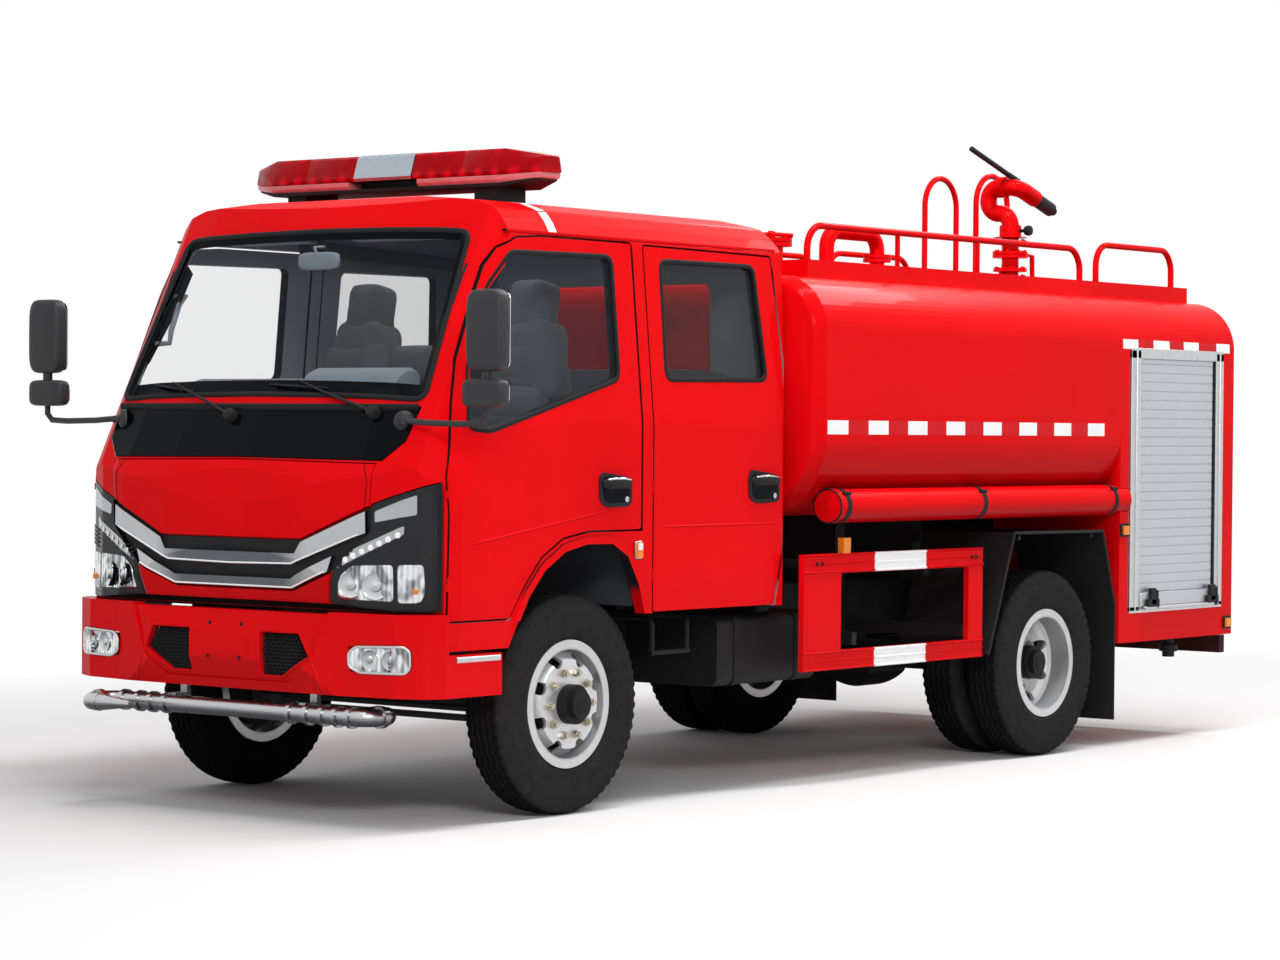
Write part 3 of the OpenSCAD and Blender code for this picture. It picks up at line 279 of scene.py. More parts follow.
def redPaint(name, cabinInside=False, doorEdges=False, blackTail=False):
    look = Look(name, coat_roughness=0.04, specular_ior_level=0.02)
    x, y, z = look.where()
    cloud = look.noise(1.6, 2.0)
    colour = look.blend(cloud.ramp(0.35, 0.7), tone["red"], tone["redDeep"])
    # painted shade: faces that look down are coloured darker, towards a deep red
    colour = look.blend(look.upwards().ramp(0.02, -0.60) * 0.85, colour, tone["redShade"])
    if blackTail:
        colour = look.blend(x.ramp(-2.99, -3.01), colour, tone["black"])
    dust = z.ramp(1.1, 0.35) * look.noise(9.0, 4.0) * 0.22
    colour = look.blend(dust, colour, (0.30, 0.05, 0.045))
    rough = 0.26 + look.noise(40.0, 2.0) * 0.08
    coat = 0.052 - dust * 0.2
    if cabinInside:
        # painted shade: shut faces are coloured black, only the inner side is trimmed
        turned = look.across()
        edge = turned.ramp(0.42, 0.30)
        if doorEdges:
            inside = turned.ramp(-0.25, -0.45)
        else:
            inside = look.facing(cabCentre).ramp(0.02, -0.02)
            shut = y.size().ramp(0.90, 0.94) * z.ramp(2.60, 2.56) * z.ramp(0.95, 1.0) * x.ramp(3.02, 2.98) * x.ramp(0.74, 0.78)
            edge = edge * turned.ramp(-0.45, -0.30) * shut
            inside = inside * (1 - edge)
        colour = look.blend(edge, colour, tone["black"])
        coat = coat * (1 - edge)
        colour = look.blend(inside, colour, tone["cabin"])
        rough = rough + inside * 0.42
        coat = coat * (1 - inside)
    look.put("Base Color", colour).put("Roughness", rough).put("Coat Weight", coat)
    return look.bump(look.noise(260.0, 1.0), 0.03, 0.0006)


def blackPaint(name, colour=(0.014, 0.014, 0.015), rough=0.42, grain=120.0, dusty=0.25):
    look = Look(name, specular_ior_level=0.12)
    x, y, z = look.where()
    dust = z.ramp(1.0, 0.2) * look.noise(7.0, 5.0) * dusty
    look.put("Base Color", look.blend(dust, colour, (0.06, 0.056, 0.05)))
    look.put("Roughness", rough + look.noise(22.0, 3.0) * 0.22)
    return look.bump(look.noise(grain, 3.0), 0.12, 0.0008)


def mouldedPlastic(name, colour, rough=0.5, grain=420.0, shine=0.14):
    look = Look(name, specular_ior_level=shine)
    speck = look.noise(grain, 2.0)
    look.put("Base Color", look.blend(look.noise(3.0), colour, tuple(c * 1.35 for c in colour)))
    look.put("Roughness", rough + speck * 0.15)
    return look.bump(look.cells(grain * 1.6), 0.10, 0.0005)


def brightMetal(name, colour, rough, brush=0.06, stretch=(4, 60, 4)):
    look = Look(name, metallic=1.0)
    streak = look.noise(12.0, 4.0, stretch)
    look.put("Base Color", look.blend(streak.ramp(0.3, 0.7), colour, tuple(c * 0.86 for c in colour)))
    look.put("Roughness", rough + streak * brush)
    return look.bump(streak, 0.05, 0.0004)


def clearGlass(name, colour, alpha, rough=0.02, shine=0.5):
    look = Look(name, roughness=rough, specular_ior_level=shine, ior=1.5)
    x, y, z = look.where()
    film = look.noise(2.2, 3.0)
    look.put("Base Color", look.blend(film, colour, tuple(c * 1.2 + 0.004 for c in colour)))
    look.put("Alpha", alpha + film * 0.02)
    look.material.surface_render_method = "BLENDED"
    return look


def polishedTrim(name, bright, dark, rough):
    # plated trim with painted reflection: bright where it looks up, dark where it looks down
    look = Look(name, metallic=1.0)
    turn = look.upwards() + look.noise(7.0, 2.0) * 0.08 - 0.04
    look.put("Base Color", look.blend(turn.ramp(-0.35, 0.30), dark, bright))
    look.put("Roughness", rough + look.noise(60.0, 3.0) * 0.06)
    return look.bump(look.noise(300.0, 1.0), 0.03, 0.0004)


def barChrome():
    # plated bars with painted reflection: dim along the middle, bright on the slanted ends and where they look up
    look = Look("barChrome", metallic=1.0)
    x, y, z = look.where()
    side = y.size().ramp(0.30, 0.46)
    shade = side * 0.5 + look.noise(2.0, 1.0) * 0.15 + look.upwards().ramp(-0.1, 0.3) * 0.4
    look.put("Base Color", look.blend(shade.ramp(0.1, 0.85), (0.13, 0.14, 0.15), (0.55, 0.56, 0.58)))
    look.put("Roughness", 0.07 + look.noise(60.0, 3.0) * 0.05)
    return look.bump(look.noise(300.0, 1.0), 0.03, 0.0004)


def flutedBowl():
    # a lamp's reflector with upright flutes, and painted reflection as dark and bright patches across it
    look = Look("flutedBowl", metallic=1.0)
    x, y, z = look.where()
    flute = y.beat(0.021)
    shade = look.noise(15.0, 1.0, (1, 1.6, 1)).ramp(0.40, 0.58) * 0.75 + flute * 0.25
    look.put("Base Color", look.blend(shade, (0.13, 0.135, 0.14), (0.86, 0.87, 0.88)))
    look.put("Roughness", 0.07 + flute * 0.06)
    return look.bump(flute, 0.25, 0.002)


def lens(name, colour, alpha=1.0, ribs=0.0, rough=0.08, shine=0.3):
    look = Look(name, roughness=rough, coat_weight=shine * 0.3, specular_ior_level=shine)
    look.put("Base Color", look.blend(look.noise(30.0, 2.0), colour, tuple(min(1, c * 1.3 + 0.01) for c in colour)))
    if alpha < 1:
        look.put("Alpha", alpha + look.noise(18.0) * 0.06)
    if ribs:
        look.where()
        wave = look.add("ShaderNodeTexWave", {"bands_direction": "Z"}, {"Vector": look.objectSpot, "Scale": ribs})
        look.bump(look.out(wave, 1), 0.35, 0.002)
    return look


def beaconLens(name, deep, bright):
    # red lens behind fine ribs, with painted highlights in the cells where its lamps sit
    look = Look(name, roughness=0.09, coat_weight=0.02, specular_ior_level=0.05)
    x, y, z = look.where()
    glintCells = y.beat(0.092) * z.beat(0.21)
    look.put("Base Color", look.blend((glintCells + look.noise(24.0, 2.0) * 0.3 - 0.1).ramp(0.15, 0.8), deep, bright))
    return look.bump(y.beat(0.011), 0.30, 0.0015)


def wheelSilver(name, mid, nutFrom, nutTo):
    # silver wheel with brass-toned nuts, told apart by their place
    look = Look(name)
    x, y, z = look.where()
    across = ((x - mid[0]) * (x - mid[0]) + (z - mid[2]) * (z - mid[2])) ** 0.5
    side = y.size()
    nut = side.between(nutFrom, nutTo) * across.between(0.118, 0.170)
    grime = look.noise(18.0, 5.0) * across.ramp(0.20, 0.27) * 0.25
    # painted light and shade: lighter where the face looks up, darker where it looks down
    lit = (look.upwards() + look.noise(14.0, 2.0) * 0.5 - 0.25).ramp(-0.85, 0.55)
    colour = look.blend(grime, look.blend(lit, (0.46, 0.465, 0.47), tone["silver"]), (0.22, 0.21, 0.20))
    # painted shade on the bead seat behind the lip
    colour = look.blend(across.between(0.226, 0.249) * 0.30, colour, (0.20, 0.20, 0.205))
    look.put("Base Color", look.blend(nut, colour, (0.46, 0.42, 0.34)))
    look.put("Metallic", 0.60 + nut * 0.3)
    look.put("Roughness", 0.28 + look.noise(60.0, 2.0) * 0.1 - nut * 0.08)
    return look.bump(look.noise(300.0, 1.0), 0.05, 0.0004)


def tyreRubber():
    look = Look("tyreRubber", specular_ior_level=0.015)
    x, y, z = look.where()
    worn = look.noise(26.0, 5.0)
    # the tread is darker than the side wall
    side = look.blend(worn, (0.014, 0.0137, 0.0135), (0.036, 0.0352, 0.0345))
    tread = look.blend(worn, (0.005, 0.0049, 0.0048), (0.010, 0.0098, 0.0096))
    look.put("Base Color", look.blend(look.across().ramp(0.25, 0.65), tread, side))
    look.put("Roughness", 0.72 + worn * 0.2)
    return look.bump(look.noise(340.0, 2.0), 0.15, 0.0008)


def seatCloth():
    look = Look("seatCloth", specular_ior_level=0.2, sheen_weight=0.15)
    look.where()
    thread = look.add("ShaderNodeTexWave", {"bands_direction": "DIAGONAL"}, {"Vector": look.objectSpot, "Scale": 90.0, "Distortion": 1.5})
    cross = look.add("ShaderNodeTexWave", {"bands_direction": "Y"}, {"Vector": look.objectSpot, "Scale": 70.0, "Distortion": 1.0})
    weave = look.out(thread, 1) * 0.5 + look.out(cross, 1) * 0.5
    look.put("Base Color", look.blend(weave * 0.6 + look.noise(6.0, 4.0) * 0.4, (0.060, 0.063, 0.070), (0.150, 0.156, 0.168)))
    look.put("Roughness", 0.7 + weave * 0.2)
    return look.bump(weave, 0.35, 0.0015)


looks = {
    "body": redPaint("tankRed"),
    "cabBody": redPaint("cabRed", True),
    "chassis": blackPaint("chassisBlack", (0.010, 0.010, 0.011)),
    "doorBody": redPaint("doorRed", True, True),
    "guardBody": redPaint("guardRed", blackTail=True),
    "castIron": blackPaint("engineIron", (0.05, 0.052, 0.055), 0.6, 80.0),
    "tyre": tyreRubber(),
    "pipe": polishedTrim("bareSteel", (0.52, 0.53, 0.54), (0.10, 0.10, 0.105), 0.24),
    "chrome": polishedTrim("chromeTrim", (0.74, 0.75, 0.77), (0.10, 0.105, 0.11), 0.06),
    "satin": brightMetal("satinTrim", (0.62, 0.63, 0.64), 0.34, 0.06),
    "plastic": mouldedPlastic("blackPlastic", (0.013, 0.013, 0.014)),
    "mirrorCase": mouldedPlastic("mirrorCase", (0.030, 0.030, 0.032), 0.35, 420.0, 0.2),
    "rubber": mouldedPlastic("blackRubber", (0.010, 0.010, 0.011), 0.55, 600.0),
    "gloss": mouldedPlastic("glossBlack", (0.0015, 0.002, 0.003), 0.05, 1500.0, 0.05),
    "cabin": mouldedPlastic("cabinGrey", (0.17, 0.195, 0.22), 0.62),
    "cabinDark": mouldedPlastic("cabinDark", (0.050, 0.053, 0.060), 0.6),
    "screen": clearGlass("screenGlass", (0.08, 0.11, 0.14), 0.022, 0.02, 0.5),
    "sideGlass": clearGlass("doorGlass", (0.06, 0.08, 0.10), 0.06, 0.02, 0.5),
    "darkGlass": clearGlass("tintedGlass", (0.016, 0.018, 0.021), 0.20, 0.02, 0.4),
    "housing": mouldedPlastic("lampHousing", (0.008, 0.008, 0.009), 0.12, 900.0),
    "reflector": brightMetal("lampReflector", (0.86, 0.87, 0.88), 0.08, 0.06),
    "flutes": flutedBowl(),
    "louvre": brightMetal("louvreSilver", (0.46, 0.50, 0.55), 0.30, 0.06),
    "barChrome": barChrome(),
    "lowLens": lens("roofBarLow", (0.62, 0.16, 0.17), 1.0, 60.0, 0.10, 0.2),
    "clear": lens("clearLens", (0.72, 0.74, 0.76), 0.55),
    "clearSolid": lens("frostedLens", (0.70, 0.72, 0.74), 1.0, 40.0),
    "redLens": lens("redLens", (0.48, 0.004, 0.010), 0.82, 25.0),
    "barLens": beaconLens("roofBarRed", (0.34, 0.0, 0.004), (0.85, 0.004, 0.016)),
    "lampCover": clearGlass("lampCover", (0.30, 0.31, 0.32), 0.01, 0.03, 0.16),
    "cloth": seatCloth(),
    "redSolid": lens("redSignal", (0.45, 0.004, 0.008), 1.0, 60.0),
    "amber": lens("amberLens", (0.80, 0.22, 0.006), 1.0, 60.0),
    "white": lens("whiteTape", (0.86, 0.87, 0.88), 1.0, 0.0, 0.35),
    "redTape": lens("redTape", (0.55, 0.003, 0.008), 1.0, 0.0, 0.35, 0.06),
    "mirror": brightMetal("mirrorGlass", (0.80, 0.82, 0.84), 0.03, 0.0),
    "slat": brightMetal("shutterSlat", (0.57, 0.59, 0.62), 0.42, 0.08, (60, 4, 4)),
    # painted shade: near-black finish for pieces set in gaps and hollows where there is only shade
    "shade": mouldedPlastic("paintedGapShade", (0.004, 0.004, 0.004), 0.9),
}
for i, name in enumerate(("rimFront", "rimRear")):
    mid = mm(-3800 * i, 0, 487)
    looks[name] = wheelSilver(name + "Silver", mid, *((1.0245, 1.07) if i == 0 else (0.9724, 1.012)))

nodeLooks = {
    "frame": "chassis", "engine_block": "castIron", "front_axle": "chassis", "rear_axle": "chassis",
    "leaf_springs": "chassis", "side_tanks": "chassis", "bumper": "body", "spray_pipe": "pipe",
    "knuckle_left": "castIron", "knuckle_right": "castIron", "tie_rod": "castIron", "cab_shell": "cabBody",
    "cab_floor": "cabinDark", "front_panels": "body", "cowl_panel": "gloss", "grille": "plastic",
    "grille_bars": "barChrome", "headlamps": "housing", "cab_glass": "screen", "dashboard": "cabin",
    "steering_wheel": "plastic", "seats": "cabinDark", "mirrors": "plastic", "light_bar": "redLens",
    "water_tank": "body", "tank_deck": "body", "hand_rails": "body", "deck_pipes": "body", "manhole_lid": "body",
    "hose_tubes": "body", "pump_house": "body", "shutters": "slat", "ladder": "body", "side_guards": "guardBody",
    "mudguards": "plastic", "lamps": "amber", "monitor_swivel": "body", "monitor_head": "body",
    "monitor_nozzle": "plastic",
}


def dressNodes():
    for name, node in cad.items():
        key = nodeLooks.get(name)
        if key is None:
            for start, other in (("tyre", "tyre"), ("rim_front", "rimFront"), ("rims_rear", "rimRear"), ("hub", "chassis"),
                                 ("door", "doorBody"), ("glass_front", "sideGlass"), ("glass_rear", "darkGlass")):
                if name.startswith(start):
                    key = other
        node.data.materials.clear()
        node.data.materials.append(looks[key].material)


dressNodes()
print("stage 3: mesh helpers")


def piece(name, body, look, verts, faces, smooth=35.0, bevel=0.0, slot=None):
    mesh = bpy.data.meshes.new(name)
    mesh.from_pydata([tuple(v) for v in verts], [], faces)
    work = bmesh.new()
    work.from_mesh(mesh)
    bmesh.ops.recalc_face_normals(work, faces=work.faces)
    work.to_mesh(mesh)
    work.free()
    for face in mesh.polygons:
        face.use_smooth = True
    mesh.set_sharp_from_angle(angle=math.radians(smooth))
    mesh.materials.append(looks[look].material if isinstance(look, str) else look.material)
    made = bpy.data.objects.new(name, mesh)
    bpy.context.scene.collection.objects.link(made)
    if bevel:
        mod = made.modifiers.new("edge", "BEVEL")
        mod.width, mod.segments, mod.limit_method, mod.angle_limit = bevel, 2, "ANGLE", math.radians(40)
    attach(made, body)
    return made


class Shape:
    # gathers several solids into one mesh

    def __init__(self):
        self.verts, self.faces = [], []

    def join(self, verts, faces):
        first = len(self.verts)
        self.verts += [Vector(v) for v in verts]
        self.faces += [tuple(i + first for i in f) for f in faces]
        return self

    def slab(self, outline, depth):
        # a flat outline of points and the vector that gives it thickness
        n = len(outline)
        back = [Vector(p) + depth for p in outline]
        sides = [(i, (i + 1) % n, n + (i + 1) % n, n + i) for i in range(n)]
        return self.join(list(outline) + back, [tuple(range(n))[::-1], tuple(range(n, 2 * n))] + sides)

    def block(self, low, high):
        (x0, y0, z0), (x1, y1, z1) = low, high
        ring = [Vector((x0, y0, z0)), Vector((x1, y0, z0)), Vector((x1, y1, z0)), Vector((x0, y1, z0))]
        return self.slab(ring, Vector((0, 0, z1 - z0)))

    def tube(self, path, radius, sides=12, closed=False, flat=1.0, up=None):
        path = [Vector(p) for p in path]
        n = len(path)
        rings, side = [], None
        for i, p in enumerate(path):
            if closed:
                along = path[(i + 1) % n] - path[i - 1]
            else:
                along = path[min(i + 1, n - 1)] - path[max(i - 1, 0)]
            along.normalize()
            if up is not None:
                side = along.cross(Vector(up)).normalized()
            elif side is None:
                guide = Vector((0, 0, 1)) if abs(along.z) < 0.9 else Vector((1, 0, 0))
                side = along.cross(guide).normalized()
            else:
                side = (side - along * side.dot(along)).normalized()
            other = side.cross(along)
            r = radius[i] if isinstance(radius, (list, tuple)) else radius
            rings.append([p + (side * math.cos(a) + other * math.sin(a) * flat) * r
                          for a in (2 * math.pi * k / sides for k in range(sides))])
        verts = [v for ring in rings for v in ring]
        last = n if closed else n - 1
        faces = [(i * sides + k, i * sides + (k + 1) % sides, ((i + 1) % n) * sides + (k + 1) % sides, ((i + 1) % n) * sides + k)
                 for i in range(last) for k in range(sides)]
        if not closed:
            faces += [tuple(range(sides))[::-1], tuple(range((n - 1) * sides, n * sides))]
        return self.join(verts, faces)

    def lathe(self, profile, centre, axis, steps=32):
        # profile of (radius, distance along the axis)
        axis = Vector(axis).normalized()
        guide = Vector((0, 0, 1)) if abs(axis.z) < 0.9 else Vector((1, 0, 0))
        u = axis.cross(guide).normalized()
        v = axis.cross(u)
        n = len(profile)
        verts = [Vector(centre) + axis * h + (u * math.cos(a) + v * math.sin(a)) * r
                 for a in (2 * math.pi * k / steps for k in range(steps)) for r, h in profile]
        faces = [(k * n + i, k * n + i + 1, ((k + 1) % steps) * n + i + 1, ((k + 1) % steps) * n + i)
                 for k in range(steps) for i in range(n - 1)]
        for end in (0, n - 1):
            if profile[end][0] > 1e-6:
                faces.append(tuple(k * n + end for k in range(steps)))
        return self.join(verts, faces)

    def bolts(self, places, axis, radius, height):
        for p in places:
            self.lathe([(radius, 0), (radius, height * 0.8), (radius * 0.86, height), (0.0, height)], p, axis, 6)
        return self

    def make(self, name, body, look, **more):
        return piece(name, body, look, self.verts, self.faces, **more)


def rounded(points, radius, steps=5):
    # rounds the corners of a closed 2-D outline
    out, n = [], len(points)
    for i in range(n):
        p, a, b = (Vector((*points[j % n][:2], 0)) for j in (i, i - 1, i + 1))
        ta, tb = (a - p), (b - p)
        r = min(radius, ta.length * 0.48, tb.length * 0.48)
        start, end = p + ta.normalized() * r, p + tb.normalized() * r
        for k in range(steps + 1):
            t = k / steps
            q = start * (1 - t) ** 2 + p * 2 * t * (1 - t) + end * t ** 2
            out.append((q.x, q.y))
    return out


trees = {}


def skin(names, start, direction):
    # nearest point on the named nodes along a ray
    best = None
    for name in names:
        if name not in trees:
            node = cad[name]
            node.data.calc_loop_triangles()
            trees[name] = BVHTree.FromPolygons([v.co for v in node.data.vertices],
                                               [t.vertices[:] for t in node.data.loop_triangles])
        spot, normal, index, far = trees[name].ray_cast(Vector(start), Vector(direction))
        if spot is not None and (best is None or far < best[1]):
            best = (spot, far)
    return best[0] if best else None


def onSide(x, z, side, names, lift=0.0):
    # a point on the left (side 1) or right (side -1) skin, lifted outwards
    start = mm(x, side * 1700, z)
    hit = skin(names, start, (0, -side, 0))
    return (hit if hit else mm(x, side * 1080, z)) + Vector((0, side * lift / 1000, 0))


def onFront(y, z, names, lift=0.0):
    start = mm(1700, y, z)
    hit = skin(names, start, (-1, 0, 0))
    return (hit if hit else mm(1000, y, z)) + Vector((lift / 1000, 0, 0))


def skinPlate(shape, outline, place, out, thick, grid=30.0):
    # a plate that lies on a curved skin: the outline is in millimetres, place() gives points on the skin
    work = bmesh.new()
    ring = [work.verts.new((a, b, 0)) for a, b in outline]
    face = work.faces.new(ring)
    bmesh.ops.triangulate(work, faces=[face])
    for _ in range(4):
        longest = [e for e in work.edges if e.calc_length() > grid]
        if not longest:
            break
        bmesh.ops.subdivide_edges(work, edges=longest, cuts=1)
        bmesh.ops.triangulate(work, faces=[f for f in work.faces if len(f.verts) > 3])
    work.verts.index_update()
    flat = [(v.co.x, v.co.y) for v in work.verts]
    faces = [tuple(v.index for v in f.verts) for f in work.faces]
    rim = [(e.verts[0].index, e.verts[1].index) for e in work.edges if len(e.link_faces) == 1]
    work.free()
    base = [place(a, b) for a, b in flat]
    n = len(base)
    top = [p + Vector(out) * thick / 1000 for p in base]
    sides = [(a, b, b + n, a + n) for a, b in rim]
    shape.join(base + top, [tuple(reversed(f)) for f in faces] + [tuple(i + n for i in f) for f in faces] + sides)
    return shape


print("stage 4: wheels")

tread = {"radius": 487.0, "half": 117.5, "steps": 240, "zigs": 40, "swing": 6.0, "grooves": (-49, -16.5, 16.5, 49),
         "groove": 5.5, "deep": 11.0, "notches": 60, "notchDeep": 9.0,
         "side": ((286, 90), (289, 95.5), (296, 101), (299, 105.5), (305, 106.5), (310, 108.5), (313, 111.5), (330, 114.5),
                  (352, 116.6), (375, 117.5), (398, 116.4), (402, 117.3), (408, 117.2), (412, 115.4), (434, 111.5))}


def tyreGrid(shape, x, y):
    # one tyre about the Y axis with zigzag grooves and a notched shoulder
    rows = tread["steps"]
    columns = [(r, -o, 0, 0) for r, o in tread["side"]]
    shoulder = ((452, 106.5, 1.0), (462, 102, 1.0), (473, 96.5, 1.0), (481.5, 88, 0.8), (484.5, 78, 0.0))
    columns += [(r, -o, 0, n) for r, o, n in shoulder]
    for g in tread["grooves"]:
        w = tread["groove"]
        columns += [(487, g - w, 1, 0), (487 - tread["deep"], g - w + 1.6, 1, 0),
                    (487 - tread["deep"], g + w - 1.6, 1, 0), (487, g + w, 1, 0)]
    columns += [(r, o, 0, n) for r, o, n in reversed(shoulder)]
    columns += [(r, o, 0, 0) for r, o in reversed(tread["side"])]
    verts = []
    for i in range(rows):
        a = 2 * math.pi * i / rows
        phase = i * tread["zigs"] / rows % 1.0
        swing = (abs(phase - 0.5) * 4 - 1) * tread["swing"]
        cut = 1.0 if i * tread["notches"] / rows % 1.0 < 0.26 else 0.0
        for r, o, zig, notch in columns:
            crown = 2.2 * (o / 67.0) ** 2 if abs(o) < 67 else 2.2 * (1 if r > 470 else 0)
            rr = r - crown - tread["notchDeep"] * notch * cut
            verts.append(mm(x, y, 487) + Vector((rr * math.cos(a), o + zig * swing, rr * math.sin(a))) / 1000)
    n = len(columns)
    faces = [(i * n + k, i * n + k + 1, (i + 1) % rows * n + k + 1, (i + 1) % rows * n + k) for i in range(rows) for k in range(n - 1)]
    faces += [((i + 1) % rows * n, (i + 1) % rows * n + n - 1, i * n + n - 1, i * n) for i in range(rows)]
    shape.join(verts, faces)


def fitTyres():
    for word, side in (("left", 1), ("right", -1)):
        shape = Shape()
        tyreGrid(shape, 0, side * 928)
        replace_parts(shape.make("treadFront_" + word, "wheel_front_" + word, "tyre", smooth=42), "tyre_front_" + word)
        shape = Shape()
        for y in (784, 1054):
            tyreGrid(shape, -3800, side * y)
        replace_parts(shape.make("treadRear_" + word, "wheels_rear_" + word, "tyre", smooth=42), "tyres_rear_" + word)


fitTyres()

hubTrim = {"cap": ((58, 0), (58, 8), (48, 12), (46, 26), (40, 31), (0, 32))}


def trimHubs():
    # hub caps and their ring of bolts
    for word, side in (("left", 1), ("right", -1)):
        for name, body, x, y in (("Front", "wheel_front_", 0, 928 + 96 + 70), ("Rear", "wheels_rear_", -3800, 919 + 135 + 56)):
            shape = Shape()
            shape.lathe([(r / 1000, h / 1000) for r, h in hubTrim["cap"]], mm(x, side * (y - 22), 487), (0, side, 0), 36)
            ring = [mm(x + 44 * math.cos(a), side * (y - 12), 487 + 44 * math.sin(a)) for a in (math.pi * k / 3 for k in range(6))]
            shape.bolts(ring, (0, side, 0), 0.006, 0.007)
            shape.make("hubCap" + name + "_" + word, body + word, "rubber", bevel=0.001)


trimHubs()
print("stage 5: cab trim")

windows = {"front": ((-280, 1925), (-280, 2455), (410, 2446), (530, 2295), (680, 1930), (712, 1700), (610, 1692)),
           "rear": ((-642, 1930), (-650, 2452), (-1350, 2456), (-1397, 1940)), "seal": 11, "round": 38}
cabSkin = ["cab_shell", "front_panels", "cowl_panel", "grille", "headlamps", "cab_glass"]


def alongOutline(points, step=40.0):
    # more points along a closed outline, so that it follows a curved skin
    out = []
    for i, p in enumerate(points):
        q = points[(i + 1) % len(points)]
        far = math.hypot(q[0] - p[0], q[1] - p[1])
        n = max(1, int(far / step))
        out += [(p[0] + (q[0] - p[0]) * k / n, p[1] + (q[1] - p[1]) * k / n) for k in range(n)]
    return out


def outwards(points, far):
    # pushes a closed outline out along its normals
    area = sum(points[i - 1][0] * p[1] - p[0] * points[i - 1][1] for i, p in enumerate(points))
    turn = 1 if area > 0 else -1
    out = []
    for i, p in enumerate(points):
        a, b = points[i - 1], points[(i + 1) % len(points)]
        dx, dz = b[0] - a[0], b[1] - a[1]
        n = math.hypot(dx, dz) or 1
        out.append((p[0] + turn * dz / n * far, p[1] - turn * dx / n * far))
    return out


def sealWindows():
    for word, side in (("left", 1), ("right", -1)):
        for row in ("front", "rear"):
            door, glass = "door_" + row + "_" + word, "glass_" + row + "_" + word
            ring = outwards(alongOutline(rounded(windows[row], windows["round"])), 9)
            path = [onSide(x, z, side, [door], 0) for x, z in ring]
            shape = Shape().tube(path, windows["seal"] / 1000, 10, True, 0.45, (0, side, 0))
            shape.make("windowSeal_" + row + "_" + word, row + "_door_" + word, "rubber", smooth=60)


sealWindows()

screenFit = {"tilt": 26.6, "outline": ((-908, 1246), (908, 1246), (850, 2050), (-850, 2050)), "seal": 13, "border": 36, "plane": 0.590, "bow": 6.2e-8, "deep": 0.70}


def onScreen(y, w, lift=0.0):
    t = math.radians(screenFit["tilt"])
    out = Vector((math.cos(t), 0, math.sin(t)))
    start = mm(2200 * math.cos(t) - w * math.sin(t), y, 2200 * math.sin(t) + w * math.cos(t))
    hit = skin(["cab_shell", "cab_glass", "cowl_panel"], start, -out)
    if hit is None or (start - hit).dot(out) > screenFit["deep"]:
        hit = start - out * (screenFit["plane"] + screenFit["bow"] * y * y)
    return hit + out * lift / 1000


def sealScreen():
    ring = alongOutline(rounded(screenFit["outline"], 60, 7))
    grown = [(y * 1.006, 1648 + (w - 1648) * 1.012) for y, w in ring]
    path = [onScreen(y, w, 1) for y, w in grown]
    t = math.radians(screenFit["tilt"])
    Shape().tube(path, screenFit["seal"] / 1000, 10, True, 0.5, (math.cos(t), 0, math.sin(t))).make("screenSeal", "chassis", "rubber", smooth=60)


sealScreen()


def borderScreen():
    # printed black edge of the windscreen, wider at its foot
    ring = alongOutline(rounded(screenFit["outline"], 60, 7))
    inner = outwards(ring, -screenFit["border"])
    n = len(ring)
    verts = [onScreen(y, w, 1.4) for y, w in ring] + [onScreen(y, w + (34 if w < 1330 else 0), 1.4) for y, w in inner]
    piece("screenBorder", "chassis", "gloss", verts, [(i, (i + 1) % n, n + (i + 1) % n, n + i) for i in range(n)])


borderScreen()

wiper = {"arms": (((-121, 1747), (-369, 1831), (-587, 1888)), ((692, 1764), (386, 1845), (196, 1898))),
         "blades": (((-735, 1880), (-430, 1848)), ((28, 1879), (376, 1862)))}


def fitWipers():
    shape, caps = Shape(), Shape()
    front = ["cab_glass", "cab_shell", "cowl_panel"]
    for arm, blade in zip(wiper["arms"], wiper["blades"]):
        pivot, mid, end = [onFront(y, z, front, lift) for (y, z), lift in zip(arm, (26, 30, 16))]
        shape.tube([pivot, pivot.lerp(mid, 0.4), mid], [0.013, 0.012, 0.009], 8, flat=0.6)
        shape.tube([mid, mid.lerp(end, 0.6), end], [0.006, 0.005, 0.004], 8)
        a, b = [onFront(y, z, front, 9) for y, z in blade]
        steps = [onFront(blade[0][0] + (blade[1][0] - blade[0][0]) * k / 8, blade[0][1] + (blade[1][1] - blade[0][1]) * k / 8, front, 7)
                 for k in range(9)]
        shape.tube(steps, [0.004] + [0.0065] * 7 + [0.004], 6)
        for k in (1, 4, 7):
            shape.tube([steps[k], steps[k] + Vector((0.012, 0, 0.002))], 0.008, 6)
        shape.tube([steps[1] + Vector((0.012, 0, 0)), steps[4] + Vector((0.019, 0, 0)), steps[7] + Vector((0.012, 0, 0))], 0.0045, 6)
        caps.lathe([(0.030, -0.030), (0.030, 0.004), (0.024, 0.016), (0.010, 0.021), (0, 0.022)], pivot, (0.9, 0, 0.44), 20)
    shape.make("wiperArms", "chassis", "plastic", smooth=50)
    caps.make("wiperPivots", "chassis", "plastic", bevel=0.001)
    bar = [onFront(y, 1780, front, 5) for y in range(-900, 901, 60)]
    Shape().tube(bar, 0.016, 10, flat=0.5, up=(1, 0, 0)).make("screenFootBar", "chassis", "rubber", smooth=60)


fitWipers()

handle = {"front": (-362, -124, 1348, 1507), "rear": (-1488, -1238, 1353, 1513)}


